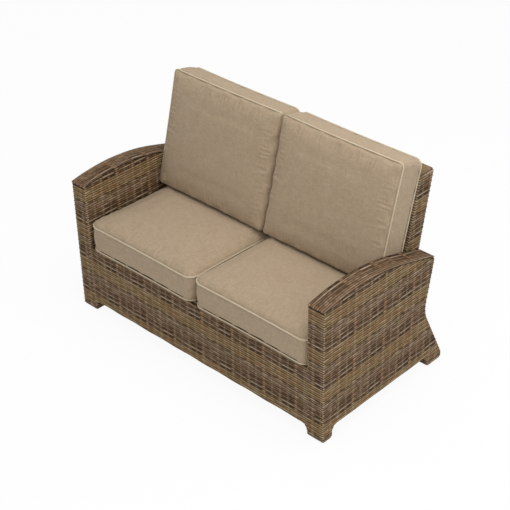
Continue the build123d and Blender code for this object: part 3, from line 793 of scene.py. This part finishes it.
def cloth_material(name, colour, contrast):
    """Plain woven outdoor cloth, with slubs and a soft sheen."""
    sheet = Sheet(name)
    place = sheet.place()
    x, y, z = sheet.parts(place)
    threads = ((x / THREAD).wave() + (y / THREAD).wave() + (z / THREAD).wave()) * 0.5
    mottle = sheet.noise(place, scale=110.0, detail=4.0, roughness=0.7)
    cloud = sheet.noise(place, scale=16.0, detail=3.0, roughness=0.6)
    slub_wide, slub_tall = (
        sheet.noise(
            sheet.vector(x * across, y * up, z * up), scale=1.0, detail=3.0, roughness=0.6)
        for across, up in (WIDE_SLUBS, TALL_SLUBS))
    unevenness = (mottle - 0.5) * 0.7 + (cloud - 0.5) * 0.3
    unevenness += (slub_wide - 0.5) + (slub_tall - 0.5) * 0.8
    warm, cool = (
        tuple(value * share for value, share in zip(linear(colour), tint))
        for tint in (WARM_TINT, COOL_TINT))
    tone = sheet.mix(cloud.above(0.5, soft=0.16), warm, cool)
    sheet.put(
        Base_Color=sheet.shaded(tone, 1 + unevenness * contrast),
        Roughness=0.9, Specular_IOR_Level=0.2, Sheen_Weight=0.1)
    relief = threads * 0.3 + mottle + slub_wide * 0.5 + slub_tall * 0.4
    sheet.bump(relief, distance=0.0008, strength=0.8)
    return sheet.material


DARK_COAT = (0.20, 0.155, 0.12)
PALE_COAT = (0.27, 0.215, 0.17)


def coated_metal():
    """Dark brown powder coat on the tubes."""
    sheet = Sheet("powder_coat")
    place = sheet.place()
    grain = sheet.noise(place, scale=900.0, detail=2.0, roughness=0.5)
    wear = sheet.noise(place, scale=14.0, detail=4.0, roughness=0.6)
    colour = sheet.mix(wear, linear(DARK_COAT), linear(PALE_COAT))
    sheet.put(Base_Color=colour, Roughness=0.45 + grain * 0.15)
    sheet.bump(grain, distance=0.0002, strength=0.5)
    return sheet.material


GLIDE_COLOUR = (0.10, 0.09, 0.08)


def glide_material():
    """Dull moulded plastic with fine scuffs."""
    sheet = Sheet("glide_plastic")
    place = sheet.place()
    scuff = sheet.noise(place, scale=240.0, detail=3.0, roughness=0.6)
    sheet.put(
        Base_Color=sheet.shaded(linear(GLIDE_COLOUR), 0.85 + scuff * 0.3),
        Roughness=0.5 + scuff * 0.2)
    sheet.bump(scuff, distance=0.0003, strength=0.4)
    return sheet.material


ZIP_TOOTH = 0.0025
ZIP_GAP = (0.36, 0.30, 0.22)
ZIP_COIL = (0.56, 0.48, 0.37)


def zip_material():
    """A closed coil zip, whose teeth run along X."""
    sheet = Sheet("coil_zip")
    place = sheet.place()
    teeth = (sheet.parts(place)[0] / ZIP_TOOTH).wave()
    colour = sheet.mix(teeth.above(0.0, soft=0.5), linear(ZIP_GAP), linear(ZIP_COIL))
    sheet.put(Base_Color=colour, Roughness=0.5)
    sheet.bump(teeth, distance=0.0008, strength=0.8)
    return sheet.material


def named_material(name):
    """The material of that name, made when it is first asked for."""
    if name not in bpy.data.materials:
        cushion = settings("loveseat_cushion")
        makers = {
            "woven_wicker": wicker_material,
            "powder_coat": coated_metal,
            "coil_zip": zip_material,
            "glide_plastic": glide_material,
            "cover_cloth": lambda: cloth_material(
                "cover_cloth", cushion.cloth, CLOTH_CONTRAST),
            # The piping's paler colour is a painted highlight
            "piping_cloth": lambda: cloth_material(
                "piping_cloth", cushion.piping_cloth, PIPING_CONTRAST),
        }
        makers[name]()
    return bpy.data.materials[name]


# Woven pieces


def copy_whole(node, name):
    """A copy of a plate's CAD node, with its flat faces joined into one each."""
    obj = copy_of(node, name)
    with editing(obj):
        bpy.ops.mesh.dissolve_limited(angle_limit=FLAT_BELOW)
    return obj


def keep_highest(obj):
    """Delete all but the part that holds the object's highest point."""
    heights = [vertex.co.z for vertex in obj.data.vertices]
    with editing(obj, "VERT", [heights.index(max(heights))]):
        bpy.ops.mesh.select_linked()
        bpy.ops.mesh.select_all(action="INVERT")
        bpy.ops.mesh.delete(type="VERT")


def extruded(node, place, low, high, name):
    """The outline in which a plane across X cuts a CAD node, drawn out between two places."""
    obj = copy_of(node, name)
    with editing(obj):
        bpy.ops.mesh.bisect(
            plane_co=(place, 0, 0), plane_no=(1, 0, 0), clear_inner=True, clear_outer=True)
        bpy.ops.mesh.select_all(action="SELECT")
        bpy.ops.mesh.remove_doubles(threshold=SAME_CORNER)
    keep_highest(obj)
    with editing(obj):
        bpy.ops.mesh.edge_face_add()
        bpy.ops.transform.translate(value=(low - place, 0, 0))
        bpy.ops.mesh.extrude_region_move(TRANSFORM_OT_translate={"value": (high - low, 0, 0)})
        bpy.ops.mesh.select_all(action="SELECT")
        bpy.ops.mesh.normals_make_consistent(inside=False)
    return obj


def round_rims(obj, places, radius, segments=2):
    """Bevel the edges that lie on an end face across X, at each of these places."""
    vertices = obj.data.vertices
    rims = []
    for edge in obj.data.edges:
        ends = [vertices[index].co.x for index in edge.vertices]
        if any(all(abs(end - place) < ON_PLANE for end in ends) for place in places):
            rims.append(edge.index)
    with editing(obj, "EDGE", rims):
        bpy.ops.mesh.bevel(offset=radius, segments=segments, affect="EDGES", clamp_overlap=True)


def shut_cavity(obj, box):
    """Delete the inner walls of the hollow back, and its bottom, and close the rim again."""
    low, high = box
    doomed = []
    for polygon in obj.data.polygons:
        centre = polygon.center
        core = Vector((
            max(low.x + CORE_INSET, min(high.x - CORE_INSET, centre.x)),
            PANEL_PLACE[0] + BACK_MIDDLE + tan(RAKE) * centre.z,
            min(high.z - CORE_INSET, centre.z)))
        if (centre - core).dot(polygon.normal) < 0 or polygon.normal.z < BOTTOM_FACE:
            doomed.append(polygon.index)
    with editing(obj, "FACE", doomed):
        bpy.ops.mesh.delete(type="FACE")
        bpy.ops.mesh.select_mode(type="EDGE")
        bpy.ops.mesh.select_all(action="DESELECT")
        bpy.ops.mesh.select_non_manifold()
        bpy.ops.mesh.edge_face_add()
        bpy.ops.mesh.select_all(action="SELECT")
        bpy.ops.mesh.normals_make_consistent(inside=False)


def stretch_ends(obj, reach):
    """Move the two upright ends across X outwards."""
    end = max(vertex.co.x for vertex in obj.data.vertices) - END_MARGIN
    for sign in (-1, 1):
        chosen = [vertex.index for vertex in obj.data.vertices if sign * vertex.co.x > end]
        with editing(obj, "VERT", chosen):
            bpy.ops.transform.translate(value=(sign * reach, 0, 0))


def mirrored(obj, name):
    """A copy of an object on the other side of the loveseat."""
    copy = bpy.data.objects.new(name, obj.data.copy())
    copy.data.name = name
    bpy.context.scene.collection.objects.link(copy)
    only(copy)
    copy.scale.x = -1
    bpy.ops.object.transform_apply(location=False, rotation=False, scale=True)
    with editing(copy):
        bpy.ops.mesh.normals_make_consistent(inside=False)
    return copy


class WickerOperator:
    """What the operators of the woven pieces share."""

    bl_options = {"REGISTER", "UNDO"}

    def dress(self, obj, node):
        """Let a woven object stand for its CAD node."""
        finish_piece(obj, "frame", named_material("woven_wicker"), [node])


class LOVESEAT_OT_arms(WickerOperator, bpy.types.Operator):
    """Weave the two arms"""

    bl_idname = "loveseat.arms"
    bl_label = "Woven arms"

    def execute(self, context):
        look = settings("loveseat_weave")
        low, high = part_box("right_arm_weave")
        right = extruded(
            "right_arm_weave", high.x - SKIN_DEPTH, low.x, high.x, "right_arm_wicker")
        round_rims(right, (low.x,), look.inner_rim)
        round_rims(right, (high.x,), look.arm_rim, segments=4)
        weave_panel(right, (1, 0))
        left = mirrored(right, "left_arm_wicker")
        self.dress(right, "right_arm_weave")
        self.dress(left, "left_arm_weave")
        return {"FINISHED"}


class LOVESEAT_OT_arm_caps(WickerOperator, bpy.types.Operator):
    """Weave the strips on top of the arms"""

    bl_idname = "loveseat.arm_caps"
    bl_label = "Arm caps"

    def execute(self, context):
        look = settings("loveseat_weave")
        low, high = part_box("right_arm_cap_weave")
        right = extruded(
            "right_arm_cap_weave", (low.x + high.x) / 2, low.x, high.x, "right_arm_cap_wicker")
        round_rims(right, (low.x, high.x), look.cap_rim)
        pitch = (high.x - low.x) / look.cap_strands
        weave(right, 0, pitch, low.x, look.depth * look.cap_depth, (1,))
        left = mirrored(right, "left_arm_cap_wicker")
        self.dress(right, "right_arm_cap_weave")
        self.dress(left, "left_arm_cap_weave")
        return {"FINISHED"}


class LOVESEAT_OT_aprons(WickerOperator, bpy.types.Operator):
    """Weave the aprons below the seat, in front and behind"""

    bl_idname = "loveseat.aprons"
    bl_label = "Aprons"

    reach: bpy.props.FloatProperty(
        name="Reach into the arms",
        description="How far an apron's ends reach into the arms' weave",
        default=0.0015, subtype="DISTANCE")

    def execute(self, context):
        for node, name, facing in (
                ("front_apron_weave", "front_apron_wicker", (0, -1, 0)),
                ("rear_apron_weave", "rear_apron_wicker", (0, 1, 0))):
            apron = copy_whole(node, name)
            stretch_ends(apron, self.reach)
            weave_panel(apron, (0,), facing)
            self.dress(apron, node)
        return {"FINISHED"}


class LOVESEAT_OT_back(WickerOperator, bpy.types.Operator):
    """Weave the raked back"""

    bl_idname = "loveseat.back"
    bl_label = "Woven back"

    def execute(self, context):
        back = copy_whole("back_weave", "back_wicker")
        shut_cavity(back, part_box("back_weave"))
        weave_panel(back, (0, 1))
        self.dress(back, "back_weave")
        return {"FINISHED"}


class LOVESEAT_OT_seat_deck(WickerOperator, bpy.types.Operator):
    """Weave the deck that carries the seat cushions"""

    bl_idname = "loveseat.seat_deck"
    bl_label = "Seat deck"

    def execute(self, context):
        look = settings("loveseat_weave")
        deck = copy_whole("seat_deck_weave", "seat_deck_wicker")
        weave(
            deck, 1, look.tile / look.tile_rows, look.deck_start, look.deck_depth, (0,),
            phases=DECK_PHASES)
        self.dress(deck, "seat_deck_weave")
        return {"FINISHED"}


class LOVESEAT_OT_metalwork(bpy.types.Operator):
    """Coat the tubes and the slats, and mould the glides"""

    bl_idname = "loveseat.metalwork"
    bl_label = "Metalwork and glides"
    bl_options = {"REGISTER", "UNDO"}

    def execute(self, context):
        for name, node in frame["nodes"].items():
            if name.endswith(("weave", "cover", "foam", "welts")):
                continue
            if name.endswith("glides"):
                material = named_material("glide_plastic")
            elif name.endswith("zip"):
                material = named_material("coil_zip")
            else:
                material = named_material("powder_coat")
            node.data.materials.clear()
            node.data.materials.append(material)
        return {"FINISHED"}


# Cushions


def set_points(mesh, points):
    """Move a mesh's points to those of an array."""
    mesh.vertices.foreach_set("co", points.ravel())
    mesh.update()


def nearest_piping(points, welts):
    """How far each point lies from the piping, and the piping's point nearest to it."""
    tree = KDTree(len(welts.vertices))
    for index, vertex in enumerate(welts.vertices):
        tree.insert(vertex.co, index)
    tree.balance()
    found = [tree.find(point) for point in points]
    return np.array([hit[2] for hit in found]), np.array([hit[0] for hit in found])


# How far a face rises beside its piping, and how far a band bulges, by distance to it
ROLL_DISTANCES = (0.0, 0.003, 0.008, 0.016, 0.030, 0.060, 0.120)
ROLL_SHARES = (0.0, 0.5, 1.0, 0.9, 0.6, 0.25, 0.0)
BELLY_DISTANCES = (0.0, 0.02, 0.06)
BELLY_SHARES = (0.0, 0.6, 1.0)
LEAST_BELLY = 0.3

# How far along the crown's way a normal looks where a face begins, where a band begins
# and where the folds begin, each with the change over which it comes to count in full
FACE_EDGE = (0.25, 0.5)
BAND_EDGE = (0.6, 0.3)
FOLD_EDGE = (0.5, 0.4)


def puff(mesh, distances, face):
    """Round a crowned face over towards its seam, so that the piping lies in a furrow.

    The band between the two seams gets a belly, which is fuller on an upright cushion.
    """
    look = settings("loveseat_cushion")
    face = np.array(face)
    normals = array_of(mesh.vertices, "normal")
    ahead = normals @ face
    rise = np.clip((ahead - FACE_EDGE[0]) / FACE_EDGE[1], 0, 1)
    rise *= np.interp(distances, ROLL_DISTANCES, ROLL_SHARES)
    belly = np.clip((BAND_EDGE[0] - np.abs(ahead)) / BAND_EDGE[1], 0, 1)
    belly *= LEAST_BELLY + (1 - LEAST_BELLY) * abs(face[1])
    belly *= np.interp(distances, BELLY_DISTANCES, BELLY_SHARES)
    points = array_of(mesh.vertices, "co") + (rise * look.roll)[:, None] * face
    set_points(mesh, points + (belly * look.belly)[:, None] * normals)


# How strong the folds are, by distance to the piping
FOLD_DISTANCES = (0.0, 0.006, 0.03, 0.075)
FOLD_SHARES = (0.0, 1.0, 0.7, 0.0)

# How far the folds stray from an even spacing, each with the pace at which it does, and
# how the folds grow and shrink along a seam. Those by an upper or a lower seam are higher.
STRAY = ((2.1, 23), (1.3, 41))
LEAST_FOLD = 0.3
GROWTH_PACE = 9
UPPER_FOLD = 1.4

# The cloth is sewn to the piping within the first distance, and loose beyond the second
SEWN_WITHIN = 0.0020
LOOSE_BEYOND = 0.0045
SEWN_SHARE = 0.7

# A seam is beside a point if this share of the way to it lies across the loveseat
BESIDE_SHARE = 0.7


def pucker(mesh, welts, face):
    """Sew a cover to its piping, with small folds that run away from the seams."""
    look = settings("loveseat_cushion")
    normals = array_of(mesh.vertices, "normal")
    points = array_of(mesh.vertices, "co")
    distances, nearest = nearest_piping(points, welts)
    reach = nearest - points
    beside = np.abs(reach[:, 0]) > BESIDE_SHARE * distances
    upward = points @ np.array((0.0, face[2], -face[1]))
    along = np.where(beside, upward, points[:, 0])
    stray = sum(width * np.sin(along * pace) for width, pace in STRAY)
    ripple = np.sin(2 * pi * along / look.fold + stray)
    ripple *= LEAST_FOLD + (1 - LEAST_FOLD) * np.sin(along * GROWTH_PACE + 1) ** 2
    ripple *= np.where(beside, 1.0, UPPER_FOLD)
    facing = np.clip((normals @ np.array(face) - FOLD_EDGE[0]) / FOLD_EDGE[1], 0, 1)
    fade = np.interp(distances, FOLD_DISTANCES, FOLD_SHARES)
    points += (ripple * fade * facing * look.fold_height)[:, None] * np.array(face)
    sewn = np.clip((LOOSE_BEYOND - distances) / (LOOSE_BEYOND - SEWN_WITHIN), 0, 1)[:, None]
    set_points(mesh, points + reach * sewn * SEWN_SHARE)


def blow_up(cover, held):
    """Fill a cover with cloth simulation. Each point is held by its own share."""
    look = settings("loveseat_cushion")
    start = array_of(cover.data.vertices, "co")
    group = cover.vertex_groups.new(name="seams")
    for index in np.nonzero(held)[0]:
        group.add([int(index)], float(held[index]), "REPLACE")
    only(cover)
    bpy.ops.object.modifier_add(type="CLOTH")
    modifier = cover.modifiers[-1]
    cloth = modifier.settings
    cloth.quality = 4
    cloth.mass = 0.3
    cloth.tension_stiffness = 40
    cloth.compression_stiffness = 10
    cloth.shear_stiffness = 5
    cloth.bending_stiffness = look.stiffness
    cloth.shrink_min = -look.ease
    cloth.use_pressure = True
    cloth.uniform_pressure_force = look.pressure
    cloth.effector_weights.gravity = 0
    cloth.vertex_group_mass = "seams"
    modifier.point_cache.frame_start = 1
    modifier.point_cache.frame_end = look.frames
    for frame_number in range(1, look.frames + 1):
        bpy.context.scene.frame_set(frame_number)
    bpy.ops.object.modifier_apply(modifier=modifier.name)
    bpy.context.scene.frame_set(1)
    cover.vertex_groups.clear()
    moved = array_of(cover.data.vertices, "co") - start
    length = np.linalg.norm(moved, axis=1)
    capped = look.swell * np.tanh(length / look.swell)
    moved *= (capped / np.maximum(length, 1e-9))[:, None]
    set_points(cover.data, start + moved)


# Over which height a rest plane fades out
PRESS_FADE = 0.01


def press(mesh, rest):
    """Press a cover flat where it would pass a resting plane.

    A rest plane is a point, a normal and the height up to which no part of the cover
    passes it.
    """
    points = array_of(mesh.vertices, "co")
    for place, normal, top in rest:
        normal = np.array(normal) / np.linalg.norm(normal)
        past = np.clip((points - np.array(place)) @ normal, 0, None)
        past *= np.clip((top - points[:, 2]) / PRESS_FADE, 0, 1)
        points -= past[:, None] * normal
    set_points(mesh, points)


# How far a cover is pulled to its seams before it is filled, within which share of the
# hold, and over which distance that pull fades out
SEAM_PULL = 0.8
PULL_WITHIN = 0.9
SEAM_FADE = 0.004


def fill(cover, welts, face, rest):
    """Fill a cover, with its seams held in place, and press it against what it rests on."""
    look = settings("loveseat_cushion")
    apply_modifier(cover, "REMESH", mode="VOXEL", voxel_size=look.voxel, use_smooth_shade=True)
    mesh = cover.data
    start = array_of(mesh.vertices, "co")
    distances, nearest = nearest_piping(start, welts)
    sewn = np.clip((look.seam_hold * PULL_WITHIN - distances) / SEAM_FADE, 0, 1)[:, None]
    set_points(mesh, start + (nearest - start) * sewn * SEAM_PULL)
    held = np.clip((look.seam_hold - distances) / (look.seam_hold / 2), 0, 1)
    blow_up(cover, held)
    puff(mesh, distances, face)
    apply_modifier(cover, "SUBSURF", levels=1, render_levels=1)
    pucker(mesh, welts, face)
    press(mesh, rest)
    only(cover)
    bpy.ops.object.shade_smooth()


# The piping is scaled a little inwards. Along a hidden edge it sinks back from the
# face and in from the edge, over the width of that edge, and only in front of the
# cushion's middle.
DRAWN_IN = 0.998
SINK_BACK = 0.010
SINK_IN = 0.005
HIDDEN_WIDTH = 0.018
FRONT_SEAM = 0.03

# The share of the piping's radius by which it stands out from the outer side of a cover
PROUD_SHARE = 0.8

# How far the seat cushions' front piping stands out from their covers
PROUD_FRONT = 0.0034

# Within this distance of the loveseat's middle a cushion's side is an inner one
SEAT_MIDDLE = 0.1


class CushionOperator:
    """What the operators of the cushions share."""

    bl_options = {"REGISTER", "UNDO"}

    def make(self, name, face, rest, hidden=()):
        """Make one cushion: its cover, then its piping. Face is where its crown points."""
        cover = copy_of(name + "_cover", name + "_cover_cloth")
        keep_highest(cover)
        fill(cover, frame["nodes"][name + "_welts"].data, face, rest)
        finish_piece(
            cover, name, named_material("cover_cloth"), [name + "_cover", name + "_foam"])
        piping = copy_of(name + "_welts", name + "_piping")
        self.tuck(piping, face, hidden)
        finish_piece(piping, name, named_material("piping_cloth"), [name + "_welts"])
        only(piping)
        bpy.ops.object.shade_smooth()

    def tuck(self, piping, face, hidden):
        """Draw the piping in against the cover, and sink it along hidden edges of the face.

        A hidden edge is given by the way it faces. There another piece presses on it.
        """
        welts = piping.name.replace("_piping", "_welts")
        low, high = (np.array(corner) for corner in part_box(welts))
        middle = (low + high) / 2
        start = middle + (array_of(piping.data.vertices, "co") - middle) * DRAWN_IN
        points = start.copy()
        ahead = np.clip((start - middle) @ np.array(face) / FRONT_SEAM, 0, 1)
        for way in hidden:
            depth = start @ np.array(way)
            near = np.sqrt(np.clip(1 - (depth.max() - depth) / HIDDEN_WIDTH, 0, 1)) * ahead
            points -= near[:, None] * (SINK_BACK * np.array(face) + SINK_IN * np.array(way))
        set_points(piping.data, points)

    def sides(self, name):
        """The upright planes across X between which a cover lies.

        On the outer side that is a little inside its piping, and on the other side, by
        the middle of the loveseat, it is level with it.
        """
        low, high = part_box(name + "_welts")
        proud = settings("loveseat_cushion").piping * PROUD_SHARE
        if high.x > SEAT_MIDDLE:
            high.x -= proud
        if low.x < -SEAT_MIDDLE:
            low.x += proud
        return [((low.x, 0, 0), (-1, 0, 0), NO_TOP), ((high.x, 0, 0), (1, 0, 0), NO_TOP)]


class LOVESEAT_OT_seat_cushions(CushionOperator, bpy.types.Operator):
    """Fill the two seat cushions and sew their piping"""

    bl_idname = "loveseat.seat_cushions"
    bl_label = "Seat cushions"

    def execute(self, context):
        for side in SIDES:
            name = side + "_seat_cushion"
            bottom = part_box(name + "_cover")[0].z
            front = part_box(name + "_welts")[0].y + PROUD_FRONT
            self.make(name, (0, 0, 1), [
                *self.sides(name),
                ((0, 0, bottom), (0, 0, -1), NO_TOP),
                ((0, front, 0), (0, -1, 0), NO_TOP),
                ((0, *NEST_PLACE), (0, sin(LEAN), cos(LEAN)), NO_TOP),
            ])
        return {"FINISHED"}


class LOVESEAT_OT_back_cushions(CushionOperator, bpy.types.Operator):
    """Fill the two back cushions and sew their piping"""

    bl_idname = "loveseat.back_cushions"
    bl_label = "Back cushions"

    def execute(self, context):
        for side in SIDES:
            name = side + "_back_cushion"
            self.make(name, (0, -cos(LEAN), sin(LEAN)), [
                *self.sides(name),
                ((0, *NEST_PLACE), (0, -sin(LEAN), -cos(LEAN)), NO_TOP),
                ((0, *PANEL_PLACE), (0, cos(RAKE), -sin(RAKE)), PANEL_TOP),
            ], [(-SIDES[side], 0, 0), (0, -sin(LEAN), -cos(LEAN))])
        return {"FINISHED"}


# Studio

WHITE = (1, 1, 1, 1)
FLOOR_SIZE = 40
FLOOR_GREYS = ((0.90, 0.90, 0.90), (0.94, 0.94, 0.94))
FLOOR_WHITE = 0.93
SKY_STRENGTH = 0.60

# Name, place, size and power of each lamp, and the point at which they aim
LAMPS = (
    ("overhead_lamp", (0.9, 0.1, 3.4), 2.2, 52),
    ("side_lamp", (3.6, -1.6, 2.2), 2.0, 22),
)
LAMP_AIM = (0, 0, 0.4)

# Width of the camera's sensor in millimetres
SENSOR = 36


def white_for_camera(tree, shader, share):
    """Mix a share of plain white into what the camera sees of a shader.

    That holds also for what it sees mirrored or through something clear.
    """
    white = tree.nodes.new("ShaderNodeEmission" if share < 1 else "ShaderNodeBackground")
    white.inputs["Color"].default_value = WHITE
    white.inputs["Strength"].default_value = 1.0
    path = tree.nodes.new("ShaderNodeLightPath")
    seen = path
    for first, second in (("Is Camera Ray", "Is Glossy Ray"), (0, "Is Transmission Ray")):
        either = tree.nodes.new("ShaderNodeMath")
        either.operation = "MAXIMUM"
        tree.links.new(seen.outputs[first], either.inputs[0])
        tree.links.new(path.outputs[second], either.inputs[1])
        seen = either
    part = tree.nodes.new("ShaderNodeMath")
    part.operation = "MULTIPLY"
    part.inputs[1].default_value = share
    tree.links.new(seen.outputs[0], part.inputs[0])
    mix = tree.nodes.new("ShaderNodeMixShader")
    tree.links.new(part.outputs[0], mix.inputs[0])
    tree.links.new(shader.outputs[0], mix.inputs[1])
    tree.links.new(white.outputs[0], mix.inputs[2])
    output = next(node for node in tree.nodes if node.type in ("OUTPUT_MATERIAL", "OUTPUT_WORLD"))
    tree.links.new(mix.outputs[0], output.inputs["Surface"])


class LOVESEAT_OT_studio(bpy.types.Operator):
    """Lay the floor, hang the lamps and set the camera"""

    bl_idname = "loveseat.studio"
    bl_label = "Floor, lamps and camera"
    bl_options = {"REGISTER", "UNDO"}

    def execute(self, context):
        look = settings("loveseat_studio")
        scene = context.scene
        scene.view_settings.view_transform = "Standard"

        bpy.ops.object.select_all(action="DESELECT")
        bpy.ops.mesh.primitive_plane_add(size=FLOOR_SIZE, location=(0, 0, 0))
        floor = context.object
        floor.name = floor.data.name = "studio_floor"
        sheet = Sheet("pale_floor")
        grain = sheet.noise(sheet.place(), scale=60.0, detail=2.0, roughness=0.5)
        sheet.put(Base_Color=sheet.mix(grain, *FLOOR_GREYS), Roughness=0.9)
        white_for_camera(sheet.tree, sheet.shader, FLOOR_WHITE)
        floor.data.materials.append(sheet.material)

        world = bpy.data.worlds.new("studio_light")
        scene.world = world
        world.use_nodes = True
        background = world.node_tree.nodes["Background"]
        background.inputs["Color"].default_value = WHITE
        background.inputs["Strength"].default_value = SKY_STRENGTH
        white_for_camera(world.node_tree, background, 1.0)

        for name, place, size, power in LAMPS:
            bpy.ops.object.light_add(type="AREA", location=place)
            lamp = context.object
            lamp.name = lamp.data.name = name
            lamp.data.size = size
            lamp.data.energy = power
            aim = Vector(LAMP_AIM) - Vector(place)
            lamp.rotation_euler = aim.to_track_quat("-Z", "Y").to_euler()

        bpy.ops.object.camera_add(location=look.camera_place)
        camera = context.object
        camera.name = camera.data.name = "photograph_camera"
        side, rise = look.azimuth, look.elevation
        view = -Vector((sin(side) * cos(rise), -cos(side) * cos(rise), sin(rise)))
        camera.rotation_euler = view.to_track_quat("-Z", "Y").to_euler()
        camera.data.sensor_width = SENSOR
        camera.data.lens = look.lens
        camera.data.shift_x, camera.data.shift_y = look.shift
        scene.camera = camera
        return {"FINISHED"}


# The add-on


class LOVESEAT_PT_panel(bpy.types.Panel):
    """Every step of the loveseat, in order"""

    bl_idname = "LOVESEAT_PT_panel"
    bl_label = "Patio Loveseat"
    bl_space_type = "VIEW_3D"
    bl_region_type = "UI"
    bl_category = "Loveseat"

    def draw(self, context):
        for name in SETTINGS:
            group = getattr(context.scene, name)
            for key in group.bl_rna.properties.keys():
                if key not in ("rna_type", "name"):
                    self.layout.prop(group, key)
        for operator in OPERATORS:
            self.layout.operator(operator.bl_idname)


OPERATORS = (
    LOVESEAT_OT_studio,
    LOVESEAT_OT_arms,
    LOVESEAT_OT_arm_caps,
    LOVESEAT_OT_aprons,
    LOVESEAT_OT_back,
    LOVESEAT_OT_seat_deck,
    LOVESEAT_OT_metalwork,
    LOVESEAT_OT_seat_cushions,
    LOVESEAT_OT_back_cushions,
)
SETTINGS = {
    "loveseat_weave": WeaveSettings,
    "loveseat_cushion": CushionSettings,
    "loveseat_studio": StudioSettings,
}


def register():
    for name, group in SETTINGS.items():
        bpy.utils.register_class(group)
        setattr(bpy.types.Scene, name, bpy.props.PointerProperty(type=group))
    for item in (*OPERATORS, LOVESEAT_PT_panel):
        bpy.utils.register_class(item)


def unregister():
    for item in (LOVESEAT_PT_panel, *reversed(OPERATORS)):
        bpy.utils.unregister_class(item)
    for name, group in SETTINGS.items():
        delattr(bpy.types.Scene, name)
        bpy.utils.unregister_class(group)


def main():
    register()
    bpy.ops.object.select_all(action="DESELECT")
    for operator in OPERATORS:
        group, name = operator.bl_idname.split(".")
        getattr(getattr(bpy.ops, group), name)()


if __name__ == "__main__":
    main()
